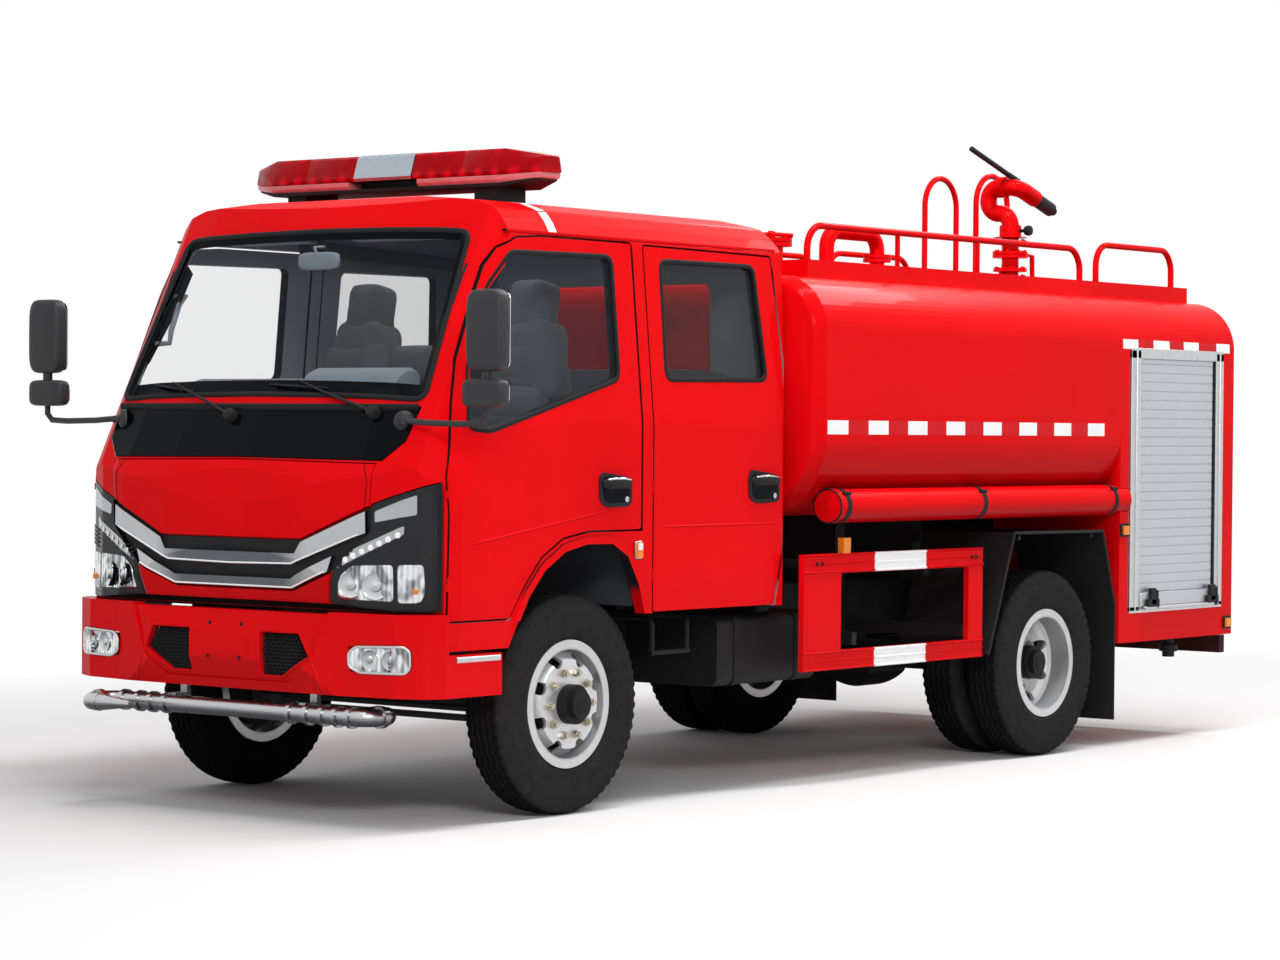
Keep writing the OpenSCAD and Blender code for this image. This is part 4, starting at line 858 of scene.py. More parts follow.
def fitHandles():
    for word, side in (("left", 1), ("right", -1)):
        for row in ("front", "rear"):
            x0, x1, z0, z1 = handle[row]
            names = ["door_" + row + "_" + word]
            place = lambda x, z: onSide(x, z, side, names)
            out = (0, side, 0)
            body = row + "_door_" + word
            cup = [(x0, z0 + 6), (x0 + 8, z1 - 26), (x1 - 20, z1), (x1, z1 - 40), (x1 - 8, z0 + 24), (x1 - 60, z0)]
            skinPlate(Shape(), rounded(cup, 42), place, out, 7).make("handleCup_" + row + "_" + word, body, "plastic", bevel=0.002)
            inner = [(x0 + 22, z0 + 26), (x0 + 24, z1 - 44), (x1 - 30, z1 - 22), (x1 - 22, z1 - 50), (x1 - 30, z0 + 34), (x1 - 66, z0 + 18)]
            skinPlate(Shape(), rounded(inner, 30), place, out, 8).make("handleWell_" + row + "_" + word, body, "gloss")
            mid = (z0 + z1) / 2 + 22
            path = [place(x, mid + 10 * math.sin((x - x0) / (x1 - x0) * 3.1)) + Vector((0, side * lift, 0))
                    for x, lift in ((x0 + 18, 0.006), (x0 + 34, 0.019), (x0 + 90, 0.024), (x1 - 90, 0.024), (x1 - 40, 0.019), (x1 - 26, 0.006))]
            Shape().tube(path, [0.016, 0.024, 0.026, 0.026, 0.024, 0.016], 10, flat=0.5, up=(0, side, 0)).make(
                "handleGrip_" + row + "_" + word, body, "plastic", smooth=60)
            rim = [p + Vector((0, side * 0.006, 0.016)) for p in path[1:5]]
            Shape().tube(rim, [0.005, 0.008, 0.008, 0.005], 8, flat=0.6, up=(0, side, 0)).make(
                "handleChrome_" + row + "_" + word, body, "chrome", smooth=60)
            lock = place(x0 + 44, z0 + 36) + Vector((0, side * 0.006, 0))
            Shape().lathe([(0.013, 0), (0.013, 0.004), (0.010, 0.006), (0.004, 0.006), (0.0035, 0.003), (0, 0.003)], lock, out, 20).make(
                "handleLock_" + row + "_" + word, body, "satin")


fitHandles()

crease = {"rear": ((-570, 1258), (-1498, 1258)), "front": ((736, 1204), (-278, 1346))}


def creaseDoors():
    # the pressed line across each door
    for word, side in (("left", 1), ("right", -1)):
        for row, ((xa, za), (xb, zb)) in crease.items():
            names = ["door_" + row + "_" + word]
            path = [onSide(xa + (xb - xa) * k / 24, za + (zb - za) * k / 24, side, names, -1.5) for k in range(25)]
            Shape().tube(path, [0.002] + [0.0055] * 23 + [0.002], 8, False, 0.7, (0, side, 0)).make(
                "doorCrease_" + row + "_" + word, row + "_door_" + word, "body", smooth=80)


creaseDoors()

mirrorSet = {"x": 925, "y": 1332, "head": (1930, 2270, 88, 195), "small": (1780, 1900, 80, 218)}


def cushionBox(mid, size, power=4.0, around=32, up=14):
    # a rounded box as a superellipsoid grid
    verts, faces = [], []
    bend = lambda v: math.copysign(abs(v) ** (2 / power), v)
    for j in range(up + 1):
        b = -math.pi / 2 + math.pi * j / up
        for i in range(around):
            a = 2 * math.pi * i / around
            verts.append(Vector(mid) + Vector((bend(math.cos(b)) * bend(math.cos(a)) * size[0],
                                               bend(math.cos(b)) * bend(math.sin(a)) * size[1], bend(math.sin(b)) * size[2])))
    for j in range(up):
        faces += [(j * around + i, j * around + (i + 1) % around, (j + 1) * around + (i + 1) % around, (j + 1) * around + i) for i in range(around)]
    return verts, faces


def fitMirrors():
    made = []
    for word, side in (("left", 1), ("right", -1)):
        x, y = mirrorSet["x"], side * mirrorSet["y"]
        shape, glass = Shape(), Shape()
        for z0, z1, deep, wide in (mirrorSet["head"], mirrorSet["small"]):
            y = side * (mirrorSet["y"] - (10 if z1 < 1930 else 0))
            shape.join(*cushionBox(mm(x, y, (z0 + z1) / 2), (deep / 2000, wide / 2000, (z1 - z0) / 2000), 5.0))
            rim = rounded([(y - wide / 2 + 13, z0 + 14), (y + wide / 2 - 13, z0 + 14), (y + wide / 2 - 13, z1 - 14), (y - wide / 2 + 13, z1 - 14)], 28)
            glass.slab([mm(x - deep / 2 + 3, a, b) for a, b in rim], Vector((-0.005, 0, 0)))
        y = side * mirrorSet["y"]
        arm = [onFront(side * 850, 1722, ["cab_shell", "cowl_panel"], -4), mm(930, side * 900, 1723), mm(926, side * 1010, 1716),
               mm(925, side * 1200, 1712), mm(925, side * 1300, 1716), mm(925, side * 1331, 1745), mm(925, y, 1800), mm(925, y, 1940)]
        shape.tube(arm, 0.0135, 12)
        foot = onFront(side * 852, 1722, ["cab_shell", "cowl_panel"], 0)
        shape.lathe([(0.046, -0.012), (0.046, 0.006), (0.036, 0.016), (0.020, 0.022), (0.015, 0.05)], foot, (0.75, side * 0.66, 0), 24)
        shape.lathe([(0.0, -0.045), (0.020, -0.045), (0.022, -0.02), (0.022, 0.02), (0.020, 0.045), (0, 0.045)], mm(925, y, 1915), (0, 0, 1), 18)
        made.append(shape.make("mirrorHeads_" + word, "chassis", "mirrorCase", smooth=50))
        glass.make("mirrorPanes_" + word, "chassis", "mirror", bevel=0.0015)
    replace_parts(made[0], "mirrors")
    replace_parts(made[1], "mirrors")


fitMirrors()

roofBar = {"x": -34, "half": 874, "low": 2765, "high": 2935, "deep": 158, "louvre": 175}


def fitRoofBar():
    x, half, z0, z1, d = (roofBar[k] for k in ("x", "half", "low", "high", "deep"))
    section = [(-150, z0 + 52), (-156, z0 + 66), (-126, z1 - 10), (-112, z1), (112, z1), (126, z1 - 10), (156, z0 + 66), (150, z0 + 52)]
    lowSection = [(-140, z0 + 14), (-154, z0 + 30), (-154, z0 + 50), (154, z0 + 50), (154, z0 + 30), (140, z0 + 14)]

    def run(shape, ring, cuts):
        # sweeps a section along Y through (y, inset) cuts
        n = len(ring)
        mid = (z0 + z1) / 2
        verts = [mm(x + a * (1 - k), y, mid + (b - mid) * (1 - k * 0.7)) for y, k in cuts for a, b in ring]
        faces = [(i * n + j, i * n + (j + 1) % n, (i + 1) * n + (j + 1) % n, (i + 1) * n + j) for i in range(len(cuts) - 1) for j in range(n)]
        faces += [tuple(range(n))[::-1], tuple(range((len(cuts) - 1) * n, len(cuts) * n))]
        shape.join(verts, faces)

    lensShape, base, louvre, inner, clear = Shape(), Shape(), Shape(), Shape(), Shape()
    lip = roofBar["louvre"]
    for s in (1, -1):
        run(lensShape, section, [(s * (lip + 4), 0), (s * 470, 0), (s * 476, 0.02), (s * 482, 0), (s * (half - 175), 0), (s * (half - 12), 0.50), (s * half, 0.56)])
        run(clear, lowSection, [(s * 210, 0), (s * (half - 180), 0), (s * (half - 20), 0.49), (s * (half - 6), 0.56)])
        for y in range(250, half - 150, 92):
            inner.lathe([(0.012, 0.0), (0.052, 0.05), (0.055, 0.056), (0.049, 0.052), (0.010, 0.006), (0, 0.004)], mm(x - 6, s * y, z0 + 100), (1, 0, 0.1), 20)
            inner.lathe([(0.012, 0.0), (0.052, 0.05), (0.055, 0.056), (0.049, 0.052), (0.010, 0.006), (0, 0.004)], mm(x + 6, s * y, z0 + 100), (-1, 0, 0.1), 20)
        base.block(mm(x - 110, s * 574 - 58, 2700), mm(x + 110, s * 574 + 58, z0 + 4))
        base.bolts([mm(x + k, s * 574 + j, z0 + 2) for k in (-84, 84) for j in (-30, 30)], (0, 0, 1), 0.009, 0.008)
    run(louvre, section, [(-lip, 0), (-lip + 6, 0), (lip - 6, 0), (lip, 0)])
    for k in range(22):
        y = -lip + 12 + k * (2 * lip - 24) / 21
        run(louvre, [(a * 1.010, b + 2 if b > z1 - 12 else b) for a, b in section], [(y - 3, 0), (y + 3, 0)])
    run(base, [(-146, z0), (-150, z0 + 16), (150, z0 + 16), (146, z0)], [(-half + 30, 0.50), (-half + 185, 0), (half - 185, 0), (half - 30, 0.50)])
    run(base, [(-60, z0 + 16), (-60, z0 + 54), (60, z0 + 54), (60, z0 + 16)], [(-half + 120, 0), (half - 120, 0)])
    made = [lensShape.make("roofBarLenses", "chassis", "barLens", bevel=0.004), base.make("roofBarBase", "chassis", "plastic", bevel=0.003),
            louvre.make("roofBarLouvre", "chassis", "louvre"), clear.make("roofBarLowLens", "chassis", "lowLens", bevel=0.003),
            inner.make("roofBarBeacons", "chassis", "reflector", smooth=60)]
    for item in made:
        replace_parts(item, "light_bar")


fitRoofBar()

lamp = {"ledTop": ((798, 1296), (798, 1342), (978, 1414), (978, 1330)), "ledLow": ((616, 1098), (616, 1146), (930, 1284), (930, 1248)),
        "bowl": ((610, 972), (632, 1068), (690, 1112), (882, 1120), (885, 966)), "turn": ((908, 960), (906, 1120), (1004, 1122), (1010, 1000), (992, 962)),
        "edge": ((570, 958), (598, 1092), (784, 1256), (790, 1368), (944, 1424), (1046, 1458), (1052, 1300), (1052, 935), (900, 932))}
lampSkin = ["headlamps"]
# painted highlight lines along the lower lips of the grille bars
barHighlightLips = (((-758, 1254), (-371, 1110), (0, 1104), (371, 1110), (758, 1254)), ((-566, 1086), (-353, 1006), (0, 1006), (353, 1006), (566, 1086)))


def lineFront():
    # painted highlights: bright tubes along the lower lips of the grille bars; painted shade: dark tubes along the
    # seams beside the bonnet
    highlightLips, seamShade = Shape(), Shape()
    for line in barHighlightLips:
        path = []
        for (ya, za), (yb, zb) in zip(line, line[1:]):
            path += [onFront(ya + (yb - ya) * k / 12, za + (zb - za) * k / 12 + 3, ["grille_bars"], 0) for k in range(12)]
        highlightLips.tube(path, 0.0055, 8)
    highlightLips.make("grilleHighlightLips", "chassis", "reflector", smooth=60)
    # painted shade: dark tubes along the seams beside the bonnet
    for side in (1, -1):
        line = ((721, 1548), (748, 1500), (760, 1474), (752, 1390), (745, 1330))
        path = []
        for (ya, za), (yb, zb) in zip(line, line[1:]):
            path += [onFront(side * (ya + (yb - ya) * k / 6), za + (zb - za) * k / 6, cabSkin, -1.0) for k in range(6)]
        seamShade.tube(path, 0.0026, 6)
    seamShade.make("bonnetSeamShade", "chassis", "shade", smooth=60)


lineFront()


def onLamp(side, lift=0.0):
    def place(y, z):
        # rays slant in from the corner, so that the turned end is met squarely
        lean = Vector((-0.8, -side * 0.6, 0))
        flat = onFront(side * min(y, 930), z, lampSkin, 0)
        if y > 900:
            target = mm(1000 - (y - 900) * 0.55, side * y, z)
            hit = skin(lampSkin, target - lean * 0.8, lean)
            flat = hit if hit else flat
        return flat + Vector((0.8, side * 0.6, 0)) * lift / 1000
    return place


def fitLamps():
    for word, side in (("left", 1), ("right", -1)):
        out = Vector((0.86, side * 0.5, 0.1))
        for name in ("bowl", "turn"):
            skinPlate(Shape(), rounded(lamp[name], 18), onLamp(side, -1), out, 3, 24).make("lamp_" + name + "_" + word, "chassis", "flutes", smooth=70)
        bulbs, leds, ribs = Shape(), Shape(), Shape()
        for y, z, r in ((688, 1032, 54), (806, 1030, 58)):
            spot = onLamp(side, 3)(y, z)
            bulbs.lathe([(r / 1000, 0), (r / 1000, 0.006), (r * 0.8 / 1000, 0.003), (r * 0.45 / 1000, 0.004), (r * 0.40 / 1000, 0.012), (0, 0.015)], spot, out, 28)
        bulbs.make("lampLensRings_" + word, "chassis", "chrome", smooth=40)
        spot = onLamp(side, 3)(975, 1010)
        Shape().lathe([(0.013, 0), (0.012, 0.008), (0.007, 0.014), (0, 0.015)], spot, out, 20).make("lampTurnBulb_" + word, "chassis", "amber", smooth=60)
        for name in ("ledTop", "ledLow"):
            skinPlate(leds, rounded(lamp[name], 8), onLamp(side, 0), out, 4, 24)
        leds.make("lampLedStrip_" + word, "chassis", "chrome", bevel=0.001)
        for k in range(7):
            t = (k + 0.5) / 7
            spot = onLamp(side, 4)(640 + 280 * t, 1128 + 126 * t)
            ribs.lathe([(0.013, 0), (0.013, 0.003), (0.006, 0.005), (0, 0.005)], spot, out, 14)
        ribs.make("lampLedDots_" + word, "chassis", "white", smooth=40)
        fins = Shape()
        for k in range(5):
            path = [onLamp(side, 2)(y, 1146 + k * 18 + (y - 930) * 0.22) for y in range(935, 1040, 20)]
            fins.tube(path, 0.004, 6)
        fins.make("lampFins_" + word, "chassis", "housing", smooth=60)
        skinPlate(Shape(), rounded(lamp["edge"], 14), onLamp(side, 9), out, 2.0, 30).make("lampCover_" + word, "chassis", "lampCover", smooth=70)


fitLamps()

bumperFit = {"fog": ((700, 690), (752, 666), (970, 668), (988, 694), (986, 762), (962, 780), (730, 773), (698, 746)), "intake": ((213, 634), (332, 634), (488, 721), (438, 814), (213, 814)),
             "ridge": (((536, 905), (500, 718), (566, 575)), 9), "plate": ((-95, 842), (95, 842), (-95, 700), (95, 700))}
bumperSkin = ["bumper"]


def fitBumper():
    for word, side in (("left", 1), ("right", -1)):
        place = lambda y, z: mm(1118 - max(0, abs(y) - 420) * 0.19 - max(0, abs(y) - 700) * 0.12 - abs(z - 740) * 0.1 - 34, side * y, z)
        face = Vector((0.97, side * 0.24, 0))
        def front(y, z):
            # over the lamp's recess, and on the skin beside it
            level = mm(1058 - (y - 741) * 0.2 - max(0, y - 955) * 0.25, side * y, z)
            level.x = max(level.x, onFront(side * y, z, bumperSkin, 0.6).x)
            return level

        fog = rounded(bumperFit["fog"], 16)
        skinPlate(Shape(), rounded(outwards(bumperFit["fog"], 7), 20), front, face, 3, 24).make("fogCase_" + word, "chassis", "plastic")
        skinPlate(Shape(), fog, lambda y, z: front(y, z) + face * 0.002, face, 3, 20).make("fogReflector_" + word, "chassis", "flutes", bevel=0.001)
        rings = Shape()
        for y in (800, 900):
            rings.lathe([(0.040, 0), (0.040, 0.004), (0.033, 0.002), (0.016, 0.002), (0.012, 0.006), (0, 0.007)], front(y, 722) + face * 0.004, face, 26)
        rings.make("fogRings_" + word, "chassis", "chrome", smooth=40)
        rim = [front(y, z) + face * 0.004 for y, z in alongOutline(fog, 30)]
        Shape().tube(rim, 0.006, 8, True, 1.0, tuple(face)).make("fogRim_" + word, "chassis", "satin", smooth=60)
        skinPlate(Shape(), fog, lambda y, z: front(y, z) + face * 0.011, face, 1.2, 30).make("fogCover_" + word, "chassis", "lampCover")
        mesh = Shape()
        inside = lambda y, z: 216 < y and 638 < z < 810 and z > 634 + (y - 332) * 0.56 and z < 814 - (y - 438) * 1.86
        row = 0
        z = 642.0
        while z < 810:
            y = 220.0 + (row % 2) * 9
            while y < 486:
                if inside(y, z):
                    ring = [place(y + 9 * math.cos(a), z + 9 * math.sin(a)) + face * 0.004 for a in (math.pi / 6 + math.pi * k / 3 for k in range(6))]
                    mesh.tube(ring, 0.0022, 4, True, 1.0, tuple(face))
                y += 18
            z += 15.6
            row += 1
        mesh.make("intakeMesh_" + word, "chassis", "plastic", smooth=70)
        # painted shade: a near-black sheet behind the intake mesh
        skinPlate(Shape(), bumperFit["intake"], lambda y, z: place(y, z) - face * 0.012, face, 4).make("intakeBackShade_" + word, "chassis", "shade")
        lipPath = [onFront(side * y, z, bumperSkin, -2) for y, z in alongOutline(rounded([(205, 626), (334, 626), (498, 720), (444, 822), (205, 822)], 12), 30)]
        Shape().tube(lipPath, 0.006, 8, True, 1.0, (1, 0, 0)).make("intakeLip_" + word, "chassis", "body", smooth=60)
        points, width = bumperFit["ridge"]
        path = [onFront(side * y, z, bumperSkin, -3) for y, z in [(536 - 36 * k / 8, 898 - 180 * k / 8) for k in range(9)] + [(500 + 66 * k / 6, 718 - 143 * k / 6) for k in range(1, 7)]]
        Shape().tube(path, width / 1000, 8, False, 0.8, (1, 0, 0)).make("bumperCrease_" + word, "chassis", "body", smooth=80)
        strip = [onSide(x, 722, side, bumperSkin, 1) for x in range(548, 860, 40)]
        Shape().tube(strip, 0.012, 8, False, 0.4, (0, side, 0)).make("stepStrip_" + word, "chassis", "satin", smooth=60)
    bolts = Shape()
    for y, z in bumperFit["plate"]:
        bolts.lathe([(0.009, -0.002), (0.009, 0.003), (0.006, 0.005), (0, 0.005)], onFront(y, z, bumperSkin, 0), (1, 0, 0), 12)
    bolts.make("plateScrews", "chassis", "chassis")
    panel = rounded([(-140, 688), (140, 688), (140, 856), (-140, 856)], 14)
    skinPlate(Shape(), panel, lambda y, z: onFront(y, z, bumperSkin, -0.5), (1, 0, 0), 2.0).make("plateSeat", "chassis", "body", bevel=0.001)


fitBumper()

underGapShade = {"low": 920.5, "high": 944, "turn": 62, "centre": 300}


def fitUnderGapShade():
    # painted shade: a near-black strip over the gap between the front panels and the bumper
    names = ["front_panels", "headlamps", "grille", "cab_shell"]
    rows = []
    for k in range(-31, 32):
        a = math.radians(k * underGapShade["turn"] / 31)
        out = Vector((math.cos(a), math.sin(a), 0))
        for z in (underGapShade["low"], underGapShade["high"]):
            hit = skin(names, mm(underGapShade["centre"], 0, z) + out * 1.6, -out)
            rows.append((hit if hit else mm(underGapShade["centre"], 0, z) + out * 0.7) + out * 0.0012)
    n = len(rows) // 2
    piece("underGapShade", "chassis", "shade", rows, [(2 * i, 2 * i + 2, 2 * i + 3, 2 * i + 1) for i in range(n - 1)])


fitUnderGapShade()

pillar = {"strip": ((560, 2400), (592, 2340), (622, 2280), (650, 2225))}


def fitPillars():
    for word, side in (("left", 1), ("right", -1)):
        lean = Vector((-0.6, -side * 0.8, 0))
        strip = []
        for x, z in pillar["strip"]:
            hit = skin(["cab_shell"], mm(x, side * 900, z) - lean, lean)
            strip.append(hit if hit else mm(x, side * 900, z))
        Shape().tube(strip, 0.007, 8, False, 0.7).make("pillarStrip_" + word, "chassis", "plastic", smooth=60)

        def roofSpot(x, turn):
            # turn goes from the roof's middle, 0, to its side, 90
            a = math.radians(turn)
            out = Vector((0, side * math.sin(a), math.cos(a)))
            hit = skin(["cab_shell"], mm(x, side * 640, 2380) + out * 0.9, -out)
            return hit if hit else mm(x, side * 640, 2700)

        band = [(76, 4), (76, 64), (130, 64), (130, 4)]
        skinPlate(Shape(), band, roofSpot, (0, side * 0.6, 0.8), 1.4, 4).make("roofTape_" + word, "chassis", "white")


fitPillars()

print("stage 6: tank and pump house")

tape = {"tank": (1680, 1747, -1712, 172.5, 345, 8), "house": (2153, 2205), "houseWhite": ((-4655, -4493), (-4999, -4822), (-5330, -5160), (-5690, -5535))}


def layTape():
    z0, z1, start, wide, pitch, count = tape["tank"]
    for word, side in (("left", 1), ("right", -1)):
        white, red = Shape(), Shape()
        place = lambda x, z: onSide(x, z, side, ["water_tank"], -0.3)
        for k in range(count):
            a = start - k * pitch
            skinPlate(white, [(a - wide, z0), (a, z0), (a, z1), (a - wide, z1)], place, (0, side, 0), 1.2, 60)
            if k < count - 1:
                skinPlate(red, [(a - pitch, z0), (a - wide, z0), (a - wide, z1), (a - pitch, z1)], place, (0, side, 0), 1.2, 60)
        place = lambda x, z: onSide(x, z, side, ["pump_house"], -0.3)
        z2, z3 = tape["house"]
        last = -4493
        for low, high in tape["houseWhite"]:
            skinPlate(white, [(low, z2), (high, z2), (high, z3), (low, z3)], place, (0, side, 0), 1.2, 60)
            if high < last:
                skinPlate(red, [(high, z2), (last, z2), (last, z3), (high, z3)], place, (0, side, 0), 1.2, 60)
            last = low
        white.make("tapeWhite_" + word, "chassis", "white")
        red.make("tapeRed_" + word, "chassis", "redTape")
    rear = Shape()
    for side in (1, -1):
        for k in range(4):
            z = 1240 + k * 260
            rear.block(mm(-5744.6, side * 1145 - 22, z), mm(-5742, side * 1145 + 22, z + 170))
    rear.make("tapeRear", "chassis", "white")


layTape()

tankEnd = {"front": -1640, "half": 1200, "low": 1280, "high": 2440, "roundLow": 390, "roundHigh": 270,
           "curve": ((-62, -0.6), (-45, 7), (-30, 14), (-15, 28), (-6, 37), (0.6, 49))}


def tankRing(inset):
    # the tank's section as a closed outline of (y, z)
    ring = []
    for side, lower in ((1, True), (1, False), (-1, False), (-1, True)):
        r = tankEnd["roundLow" if lower else "roundHigh"]
        cy, cz = side * (tankEnd["half"] - r), tankEnd["low"] + r if lower else tankEnd["high"] - r
        begin = {(1, True): -90, (1, False): 0, (-1, False): 90, (-1, True): 180}[(side, lower)]
        ring += [(cy + (r - inset) * math.cos(math.radians(begin + 90 * k / 18)), cz + (r - inset) * math.sin(math.radians(begin + 90 * k / 18)))
                 for k in range(19)]
    return ring


def roundTankFront():
    rings = [[mm(tankEnd["front"] + x, y, z) for y, z in tankRing(inset)] for x, inset in tankEnd["curve"]]
    n = len(rings[0])
    faces = [(j * n + i, j * n + (i + 1) % n, (j + 1) * n + (i + 1) % n, (j + 1) * n + i) for j in range(len(rings) - 1) for i in range(n)]
    faces.append(tuple(range((len(rings) - 1) * n, len(rings) * n)))
    piece("tankFrontSkin", "chassis", "body", [v for ring in rings for v in ring], faces, smooth=40)


roundTankFront()

shutter = {"x": (-4592, -5601), "z": (729, 2148), "face": 1190, "pitch": 50, "frame": 88, "hood": 46}


def slatPanel(low, high, bottom, top, face, out, cross):
    # a roller shutter of bowed slats; face and cross give the panel's plane
    shape = Shape()
    pitch = shutter["pitch"] / 1000
    z = bottom
    profile = []
    while z < top - 0.004:
        end = min(z + pitch, top)
        for t, lift in ((0, 0.0), (0.03, 0.0), (0.07, 0.0036), (0.3, 0.0050), (0.7, 0.0050), (0.93, 0.0036), (0.97, 0.0)):
            profile.append((z + (end - z) * t, lift))
        z = end
    n = len(profile)
    verts = [face + cross * a + out * h + Vector((0, 0, b)) for a in (low, high) for b, h in profile]
    faces = [(i, i + 1, n + i + 1, n + i) for i in range(n - 1)]
    return shape.join(verts, faces)


def fitShutters():
    x1, x0 = shutter["x"]
    z0, z1 = shutter["z"]
    for word, side in (("left", 1), ("right", -1)):
        out = Vector((0, side, 0))
        face = mm(0, side * (shutter["face"] + 0.6), 0)
        slatPanel((x0 + 100) / 1000, (x1 - 86) / 1000, 0.826, 2.104, face, out, Vector((1, 0, 0))).make("shutterSlats_" + word, "chassis", "slat", smooth=50)
        frameShape, seals, black = Shape(), Shape(), Shape()
        y0, y1 = sorted((side * (shutter["face"] + 0.5), side * 1206))
        frameShape.block(mm(x1 - 88, y0, z0), mm(x1 + 12, y1, z1))
        frameShape.block(mm(x0 - 12, y0, z0), mm(x0 + 72, y1, z1))
        frameShape.block(mm(x0 - 12, y0, 2104), mm(x1 + 12, y1, z1 + 12))
        frameShape.block(mm(x0 - 12, y0, z0 - 11), mm(x1 + 12, y1, z0 + 24))
        frameShape.tube([mm(x, side * 1206, z) for x, z in ((x1 - 40, z0 + 4), (x1 - 40, z1 - 4))], 0.009, 8, flat=0.6)
        frameShape.tube([mm(x, side * 1206, z) for x, z in ((x0 + 34, z0 + 4), (x0 + 34, z1 - 4))], 0.009, 8, flat=0.6)
        frameShape.make("shutterFrame_" + word, "chassis", "satin", bevel=0.003)
        for x in (x1 - 92, x0 + 78):
            seals.block(mm(x - 8, *sorted((side * 1190, side * 1198))[:1], z0 + 30), mm(x + 8, max(side * 1190, side * 1198), 2104))
        seals.make("shutterSeals_" + word, "chassis", "rubber", bevel=0.002)
        rail = Shape()
        a, b = sorted((side * 1196, side * 1214))
        rail.block(mm(x0 + 96, a, 752), mm(x1 - 90, b, 826))
        rail.tube([mm(x0 + 120, side * 1226, 742), mm(x1 - 116, side * 1226, 742)], 0.010, 10)
        rail.make("shutterFoot_" + word, "chassis", "slat", bevel=0.004)
        for x in (-4799, -5470):
            a, b = sorted((side * 1210, side * 1234))
            black.block(mm(x - 62, a, 742), mm(x + 62, b, 790))
            black.block(mm(x - 26, a, 760), mm(x + 26, b, 850))
            black.tube([mm(x - 40, side * 1224, 736), mm(x - 40, side * 1224, 838)], 0.013, 10)
        black.make("shutterLatches_" + word, "chassis", "plastic", bevel=0.003)
    slatPanel(-0.52, 0.52, 0.98, 2.08, mm(-5733.4, 0, 0), Vector((-1, 0, 0)), Vector((0, 1, 0))).make("shutterSlats_rear", "chassis", "slat", smooth=50)
    rear = Shape()
    for y0, y1, z0, z1 in ((-630, -520, 870, 2160), (520, 630, 870, 2160), (-630, 630, 2080, 2160), (-630, 630, 866, 900)):
        rear.block(mm(-5750, y0, z0), mm(-5734, y1, z1))
    rear.block(mm(-5752, -518, 902), mm(-5736, 518, 976))
    rear.tube([mm(-5760, y, 912) for y in (-480, 480)], 0.010, 10)
    rear.make("shutterFrame_rear", "chassis", "satin", bevel=0.003)


fitShutters()

strap = {"x": (-1870, -3086, -4400), "y": 1144.3, "z": 1335.7, "radius": 82}


def fitStraps():
    for word, side in (("left", 1), ("right", -1)):
        shape, caps = Shape(), Shape()
        r = strap["radius"]
        for x in strap["x"]:
            mid = mm(x, side * strap["y"], strap["z"])
            shape.lathe([((r - 4) / 1000, -0.017), ((r + 3) / 1000, -0.017), ((r + 3) / 1000, 0.017), ((r - 4) / 1000, 0.017)], mid, (1, 0, 0), 48)
            lug = mid + Vector((0, side * 0.062, 0.062))
            shape.lathe([(0.009, -0.03), (0.009, 0.03), (0, 0.03)], lug, (1, 0, 0), 8)
        shape.make("hoseStraps_" + word, "chassis", "rubber", bevel=0.0008)
        end = mm(-1804, side * strap["y"], strap["z"])
        caps.lathe([((r + 2) / 1000, -0.030), ((r + 2) / 1000, -0.004), ((r - 6) / 1000, 0.006), (0.05, 0.008), (0.012, 0.009), (0.012, 0.016), (0, 0.017)], end, (1, 0, 0), 48)
        caps.make("hoseCap_" + word, "chassis", "body", smooth=30)
        ring = [end + Vector((0.004, (r - 2) / 1000 * math.cos(a), (r - 2) / 1000 * math.sin(a))) for a in (2 * math.pi * k / 40 for k in range(40))]
        Shape().tube(ring, 0.005, 6, True).make("hoseRing_" + word, "chassis", "rubber", smooth=60)


fitStraps()

guard = {"y": 1138, "out": 1170, "bars": ((1016, 1108), (551, 643)), "x": (-3150, -1574)}


def fitGuards():
    for word, side in (("left", 1), ("right", -1)):
        ribs, white = Shape(), Shape()
        for z0, z1 in guard["bars"]:
            for z in (z0 + 6, (z0 + z1) / 2, z1 - 6):
                for a, b, shape in ((-2623, -2169, white), (-3150, -2623, ribs), (-2169, -1574, ribs)):
                    shape.tube([mm(a + 0.5, side * 1168, z), mm(b - 0.5, side * 1168, z)], 0.0085 if z != (z0 + z1) / 2 else 0.006, 8, flat=0.5)
            a, b = sorted((side * 1166.5, side * 1169))
            white.block(mm(-2623, a, z0 - 0.5), mm(-2169, b, z1 + 0.5))
        ribs.make("guardRibs_" + word, "chassis", "body", smooth=60)
        white.make("guardWhite_" + word, "chassis", "white", smooth=60)
        brackets = Shape()
        for x in (-1700, -3060):
            brackets.tube([mm(x, side * 1140, 1060), mm(x, side * 900, 1060), mm(x, side * 880, 960)], 0.022, 8)
            brackets.bolts([mm(x + k, side * 1170, 1062) for k in (-22, 22)], (0, side, 0), 0.010, 0.008)
        brackets.make("guardBrackets_" + word, "chassis", "chassis", bevel=0.001)


fitGuards()

mudLine = ((620, 560), (377, 1177), (-516, 1170), (-648, 762))


def fitMudguards():
    for word, side in (("left", 1), ("right", -1)):
        lip, stays = Shape(), Shape()
        path = [mm(-3800 + x, side * 1186, z) for x, z in mudLine]
        lip.tube([path[0], path[0].lerp(path[1], 0.96), path[1], path[1].lerp(path[2], 0.04), path[1].lerp(path[2], 0.96), path[2],
                  path[2].lerp(path[3], 0.06), path[3]], 0.009, 8)
        lip.make("mudguardLip_" + word, "chassis", "plastic", smooth=60)
        for x in (-3800 + 300, -3800 - 430):
            stays.tube([mm(x, side * 600, 1150), mm(x, side * 1170, 1150)], 0.014, 8)
        stays.make("mudguardStays_" + word, "chassis", "chassis", smooth=60)


fitMudguards()

fuel = {"x": (-1149, -1941), "y": 976, "z": (494, 827), "straps": (-1300, -1790)}


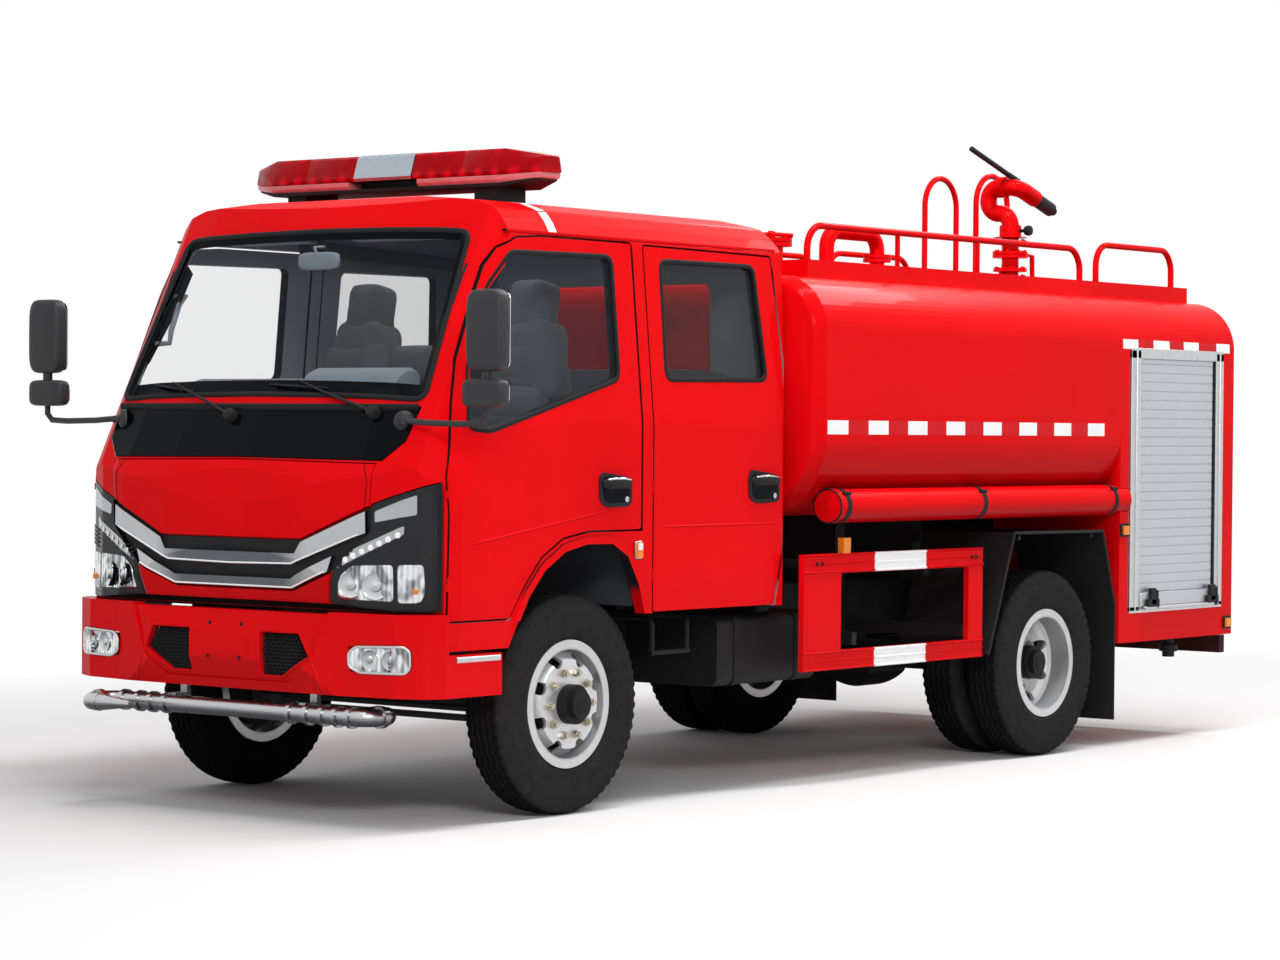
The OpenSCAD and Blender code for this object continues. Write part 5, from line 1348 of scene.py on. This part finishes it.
def fitFuelTank():
    bands, cap = Shape(), Shape()
    y0 = 425
    for x in fuel["straps"]:
        ring = rounded([(y0, fuel["z"][0] - 3), (fuel["y"] + 3, fuel["z"][0] - 3), (fuel["y"] + 3, fuel["z"][1] + 3), (y0, fuel["z"][1] + 3)], 52)
        inner = rounded([(y0, fuel["z"][0] + 2), (fuel["y"] - 2, fuel["z"][0] + 2), (fuel["y"] - 2, fuel["z"][1] - 2), (y0, fuel["z"][1] - 2)], 48)
        n = len(ring)
        verts = [mm(x + dx, y, z) for dx in (-20, 20) for y, z in ring] + [mm(x + dx, y, z) for dx in (-20, 20) for y, z in inner]
        faces = [(i, (i + 1) % n, n + (i + 1) % n, n + i) for i in range(n)]
        faces += [(i, 2 * n + i, 2 * n + (i + 1) % n, (i + 1) % n) for i in range(n)]
        faces += [(n + i, n + (i + 1) % n, 3 * n + (i + 1) % n, 3 * n + i) for i in range(n)]
        bands.join(verts, faces)
    bands.make("fuelStraps", "chassis", "rubber")
    cap.lathe([(0.030, 0), (0.030, 0.05), (0.048, 0.052), (0.048, 0.072), (0.040, 0.080), (0, 0.082)], mm(-1545, 900, 815), (0, 0.5, 0.86), 28)
    cap.make("fuelCap", "chassis", "plastic", bevel=0.001)


fitFuelTank()

deck = {"fill": (-2265, 459, 2660.3), "vent": (-3078, -3549), "monitor": (-4893, 230), "hatch": (-2950, -380)}


def fitDeck():
    bolts, grips, brace = Shape(), Shape(), Shape()
    x, y, z = deck["fill"]
    bolts.bolts([mm(x + 88 * math.cos(a), y + 88 * math.sin(a), z - 2) for a in (math.pi * k / 4 for k in range(8))], (0, 0, 1), 0.009, 0.010)
    for a in (0.6, 0.6 + math.pi / 2):
        grips.tube([mm(x - 110 * math.cos(a), y - 110 * math.sin(a), z + 12), mm(x, y, z + 20), mm(x + 110 * math.cos(a), y + 110 * math.sin(a), z + 12)], 0.011, 8)
    grips.lathe([(0.020, 0), (0.020, 0.03), (0.014, 0.036), (0, 0.037)], mm(x, y, z), (0, 0, 1), 16)
    for vx in deck["vent"]:
        bolts.bolts([mm(vx + 51 * math.cos(a), 230 + 51 * math.sin(a), 2456) for a in (math.pi * k / 3 for k in range(6))], (0, 0, 1), 0.008, 0.008)
    mx, my = deck["monitor"]
    for h in (2460, 2580, 2625, 2780):
        bolts.bolts([mm(mx + 80 * math.cos(a), my + 80 * math.sin(a), h) for a in (math.pi * k / 4 for k in range(8))], (0, 0, 1), 0.009, 0.009)
    for low, high, r in ((2683, 2699, 100), (2702, 2718, 100), (2797, 2800, 96)):
        brace.lathe([(0.04, (low - 2600) / 1000), (r / 1000, (low - 2600) / 1000), (r / 1000, (high - 2600) / 1000), (0.04, (high - 2600) / 1000)], mm(mx, my, 2600), (0, 0, 1), 40)
    bolts.bolts([mm(mx + 84 * math.cos(a), my + 84 * math.sin(a), 2716) for a in (math.pi * k / 4 + 0.39 for k in range(8))], (0, 0, 1), 0.009, 0.012)
    brace.tube([mm(mx - 180, my + 40, 2442), mm(mx - 176, my + 36, 2700), mm(mx - 60, my + 10, 2712)], 0.015, 8)
    brace.tube([mm(mx + 150, my - 60, 2442), mm(mx + 60, my - 20, 2600)], 0.012, 8)
    hx, hy = deck["hatch"]
    bolts.make("deckBolts", "chassis", "body", smooth=30)
    grips.make("fillWings", "chassis", "body", smooth=60)
    brace.make("riserBrace", "chassis", "body", smooth=60)
    lid = Shape()
    lid.bolts([mm(hx + 262 * math.cos(a), hy + 262 * math.sin(a), 2514) for a in (math.pi * k / 6 + 0.26 for k in range(12))], (0, 0, 1), 0.010, 0.012)
    lid.tube([mm(hx + 90, hy - 70, 2533), mm(hx + 90, hy - 70, 2566), mm(hx + 90, hy + 70, 2566), mm(hx + 90, hy + 70, 2533)], 0.009, 8)
    lid.make("hatchFittings", "tank_lid", "body", smooth=40)


fitDeck()

turret = {"x": -4893, "y": 230, "z": 3085, "flange": 2795, "disc": -54}


def fitTurret():
    x, y, z, low = (turret[k] for k in ("x", "y", "z", "flange"))
    knob = Shape()
    knob.tube([mm(x, y + 55, low + 40), mm(x, y + 112, low + 40)], 0.010, 8)
    knob.lathe([(0, -0.02), (0.024, -0.018), (0.030, 0), (0.026, 0.016), (0, 0.020)], mm(x, y + 118, low + 40), (0, 1, 0), 18)
    knob.bolts([mm(x + 54 * math.cos(a), y + 54 * math.sin(a), low + 66) for a in (math.pi * k / 4 for k in range(8))], (0, 0, 1), 0.006, 0.007)
    knob.make("swivelKnob", "monitor_turn", "plastic", smooth=40)
    collar = Shape()
    collar.bolts([mm(x + 53 * math.cos(a), y + turret["disc"] + 24, z + 53 * math.sin(a)) for a in (math.pi * k / 3 for k in range(6))], (0, 1, 0), 0.006, 0.006)
    collar.make("barrelBolts", "monitor_barrel", "body", smooth=40)


fitTurret()

smallLamp = {"marker": (-432, -380, 1116, 1196), "sides": ((-4520, 1172), (-5682, 628)), "drain": (-5235, 1080, 560)}


def fitSmallLamps():
    bezel, clear, black = Shape(), Shape(), Shape()
    x0, x1, z0, z1 = smallLamp["marker"]
    for side in (1, -1):
        ring = rounded([(x0, z0), (x1, z0), (x1, z1), (x0, z1)], 9)
        bezel.slab([mm(x, side * 1081, z) for x, z in ring], Vector((0, side * 0.009, 0)))
        pane = rounded([(x0 + 10, z0 + 40), (x1 - 10, z0 + 40), (x1 - 10, z1 - 10), (x0 + 10, z1 - 10)], 5)
        clear.slab([mm(x, side * 1098, z) for x, z in pane], Vector((0, side * 0.003, 0)))
        for x, z in smallLamp["sides"]:
            ring = rounded([(x - 44, z - 36), (x + 44, z - 36), (x + 44, z + 36), (x - 44, z + 36)], 8)
            black.slab([mm(a, side * 1200.2, b) for a, b in ring], Vector((0, side * 0.009, 0)))
    x, y, z = smallLamp["drain"]
    black.lathe([(0.030, 0), (0.030, -0.04), (0.052, -0.044), (0.052, -0.080), (0.034, -0.084), (0.034, -0.112), (0, -0.114)], mm(x, y, z), (0, 0, 1), 24)
    bezel.make("markerBezels", "chassis", "chrome", bevel=0.002)
    clear.make("markerPanes", "chassis", "clearSolid", bevel=0.001)
    black.make("lampBrackets", "chassis", "plastic", bevel=0.0015)


fitSmallLamps()

tail = {"x": -5776, "y": (1000, 1150), "z": (800, 1120)}


def fitTail():
    shape = {"redSolid": Shape(), "amber": Shape(), "clearSolid": Shape(), "plastic": Shape()}
    for side in (1, -1):
        for look, z0, z1 in (("redSolid", 808, 906), ("clearSolid", 914, 996), ("amber", 1004, 1112)):
            a, b = sorted((side * 1008, side * 1142))
            ring = rounded([(a, z0), (b, z0), (b, z1), (a, z1)], 14)
            shape[look].slab([mm(-5772, y, z) for y, z in ring], Vector((-0.012, 0, 0)))
        a, b = sorted((side * 1001, side * 1149))
        shape["plastic"].slab([mm(-5772.5, y, z) for y, z in rounded([(a, 801), (b, 801), (b, 1119), (a, 1119)], 18)], Vector((-0.003, 0, 0)))
    for look, made in shape.items():
        made.make("tailPanes_" + look, "chassis", look, bevel=0.003)
    plate = Shape()
    plate.slab([mm(-5744, y, z) for y, z in rounded([(-220, 760), (220, 760), (220, 846), (-220, 846)], 8)], Vector((-0.004, 0, 0)))
    plate.make("rearPlateBlank", "chassis", "satin", bevel=0.001)


fitTail()

print("stage 7: cabin")

seatParts = (("driver", "seat", (170, 470, 1322), (245, 250, 80), 0), ("driver", "back", (-178, 470, 1580), (62, 245, 330), 8),
             ("driver", "rest", (-262, 470, 1985), (48, 140, 92), 8),
             ("mate", "seat", (170, -320, 1322), (245, 420, 80), 0), ("mate", "back", (-178, -320, 1580), (62, 415, 330), 8),
             ("mate", "rest", (-262, -540, 1985), (48, 140, 92), 8), ("mate", "restMid", (-262, -120, 1985), (48, 140, 92), 8),
             ("driver", "upper", (-345, 485, 2000), (112, 250, 200), 10), ("driver", "crown", (-380, 485, 2236), (84, 124, 136), 10),
             ("mate", "upper", (-345, -520, 2000), (112, 225, 200), 10), ("mate", "crown", (-380, -520, 2236), (84, 118, 136), 10),
             ("crew", "seat", (-1105, 0, 1330), (235, 870, 88), 0), ("crew", "back", (-1450, 0, 1700), (68, 870, 310), 3))
padding = {"voxel": 0.013, "pressure": 4.0, "frames": 16, "cap": 0.014, "shrink": 0.97}


def puff(made):
    # blows the pad up with a short cloth run and keeps the result
    start = [v.co.copy() for v in made.data.vertices]
    mod = made.modifiers.new("fill", "CLOTH")
    settings = mod.settings
    settings.quality, settings.mass = 5, 0.3
    settings.tension_stiffness = settings.compression_stiffness = 22
    settings.use_pressure, settings.uniform_pressure_force = True, padding["pressure"]
    settings.effector_weights.gravity = 0
    mod.point_cache.frame_start, mod.point_cache.frame_end = 1, padding["frames"]
    scene = bpy.context.scene
    for number in range(1, padding["frames"] + 1):
        scene.frame_set(number)
    shaped = made.evaluated_get(bpy.context.evaluated_depsgraph_get())
    moved = [v.co.copy() for v in shaped.data.vertices]
    made.modifiers.remove(mod)
    for vert, a, b in zip(made.data.vertices, start, moved):
        shift = b - a
        if shift.length > padding["cap"]:
            shift *= padding["cap"] / shift.length
        vert.co = a + shift
    scene.frame_set(1)


def fitSeats():
    for who, what, mid, half, lean in seatParts:
        verts, faces = cushionBox((0, 0, 0), [v / 1000 * padding["shrink"] for v in half], 7.0, 64, 24)
        if what in ("upper", "crown"):
            # the seat narrows towards its head rest
            slim = 0.42 if what == "upper" else 0.18
            verts = [Vector((v.x, v.y * (1 - slim * (v.z * 1000 / half[2] + 1) / 2), v.z)) for v in verts]
        tilt = Matrix.Rotation(math.radians(-lean), 3, "Y")
        made = piece("pad_" + who + "_" + what, "chassis", "cloth", [mm(*mid) + tilt @ v for v in verts], faces, smooth=70)
        mod = made.modifiers.new("even", "REMESH")
        mod.mode, mod.voxel_size = "VOXEL", padding["voxel"]
        shaped = made.evaluated_get(bpy.context.evaluated_depsgraph_get())
        fresh = bpy.data.meshes.new_from_object(shaped)
        made.modifiers.clear()
        made.data = fresh
        puff(made)
        # sewn channels, after the filling
        rows = {"seat": 5, "back": 6}.get(what, 0)
        span = half[1] if what == "seat" else half[2]
        for vert in made.data.vertices:
            local = tilt.transposed() @ (vert.co - mm(*mid)) * 1000
            along = local.y if what == "seat" else local.z
            shown = local.z > 0 if what == "seat" else local.x > 0
            if rows and shown:
                wave = abs(math.sin(math.pi * (along / (2 * span) * rows + 0.5)))
                sink = max(0.0, 1 - wave / 0.25) * 0.007
                vert.co -= tilt @ Vector((0, 0, sink) if what == "seat" else (sink, 0, 0))
        for face in made.data.polygons:
            face.use_smooth = True
        made.modifiers.new("fine", "SUBSURF").levels = 1
        made.modifiers["fine"].render_levels = 1
        if what not in ("upper", "crown"):
            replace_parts(made, "seats")
    base = Shape()
    for y, w in ((470, 230), (-320, 400)):
        base.block(mm(-60, y - w, 1236), mm(400, y + w, 1256))
        base.tube([mm(-105, y - w * 0.6, 1250), mm(-235, y - w * 0.6, 1990)], 0.012, 8)
        base.tube([mm(-105, y + w * 0.6, 1250), mm(-235, y + w * 0.6, 1990)], 0.012, 8)
    base.block(mm(-1340, -860, 932), mm(-880, 860, 1250))
    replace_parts(base.make("seatBases", "chassis", "cabinDark", bevel=0.004), "seats")


fitSeats()

cabinSet = {"hood": ((790, 1722), (764, 1850), (704, 1932), (620, 1960), (560, 1934), (540, 1720)), "mirror": (566, 36, 2430),
            "grab": ((600, 2288), (640, 2250), (690, 2130), (700, 2072))}


def fitCabin():
    hood, vents, dials = Shape(), Shape(), Shape()
    for low, high, grow in ((90, 640, 1.0), (-640, 60, 0.80)):
        outline = [(x, 1722 + (z - 1722) * grow) for x, z in cabinSet["hood"]]
        ring = rounded(outline, 30)
        hood.slab([mm(x, low, z) for x, z in ring], Vector((0, (high - low) / 1000, 0)))
    hood.make("dashHoods", "chassis", "cabin", bevel=0.018)
    for y in (-880, -40, 60, 860):
        for k in range(4):
            vents.block(mm(552, y - 48, 1612 + k * 16), mm(566, y + 48, 1621 + k * 16))
    vents.make("dashVents", "chassis", "cabinDark", bevel=0.002)
    for y, r in ((400, 52), (530, 52), (465, 24)):
        dials.lathe([(r / 1000, 0), (r / 1000, 0.006), ((r - 5) / 1000, 0.004), (0, 0.003)], mm(548, y, 1830), (-1, 0, 0.1), 28)
    dials.make("dashDials", "chassis", "gloss", smooth=40)
    x, y, z = cabinSet["mirror"]
    glass = Shape()
    glass.join(*cushionBox(mm(x, y, z), (0.018, 0.122, 0.040), 4.0))
    stem = onScreen(36, 1990, -14)
    glass.tube([mm(x + 6, y, z), mm(x + 30, y, z + 60), stem], 0.008, 8)
    glass.make("insideMirror", "chassis", "cabin", smooth=60)
    grabs = Shape()
    for side in (1, -1):
        path = [mm(x_ - 60, side * 830, z_) for x_, z_ in cabinSet["grab"]]
        path = [path[0] + Vector((0.03, side * 0.05, 0.0))] + path + [path[-1] + Vector((0.03, side * 0.06, -0.004))]
        grabs.tube(path, 0.013, 10)
    grabs.make("grabHandles", "chassis", "cabin", smooth=60)
    rails = Shape()
    for side in (1, -1):
        # trim over the doors, under the roof lining
        rails.tube([mm(x, side * 893, 2515 + (x + 1540) * 0.034) for x in range(-1540, -240, 60)], 0.034, 10, False, 0.3, (0, side, 0))
    rails.make("doorTopTrim", "chassis", "cabinDark", smooth=60)
    visors = Shape()
    for y0, y1 in ((-640, -120), (140, 680)):
        ring = rounded([(y0, 0), (y1, 0), (y1, 150), (y0, 150)], 30)
        visors.slab([mm(470 - b * 0.42, a, 2520 - b * 0.02) for a, b in ring], Vector((0.004, 0, 0.012)))
    visors.make("sunVisors", "chassis", "cabin", bevel=0.004)


fitCabin()
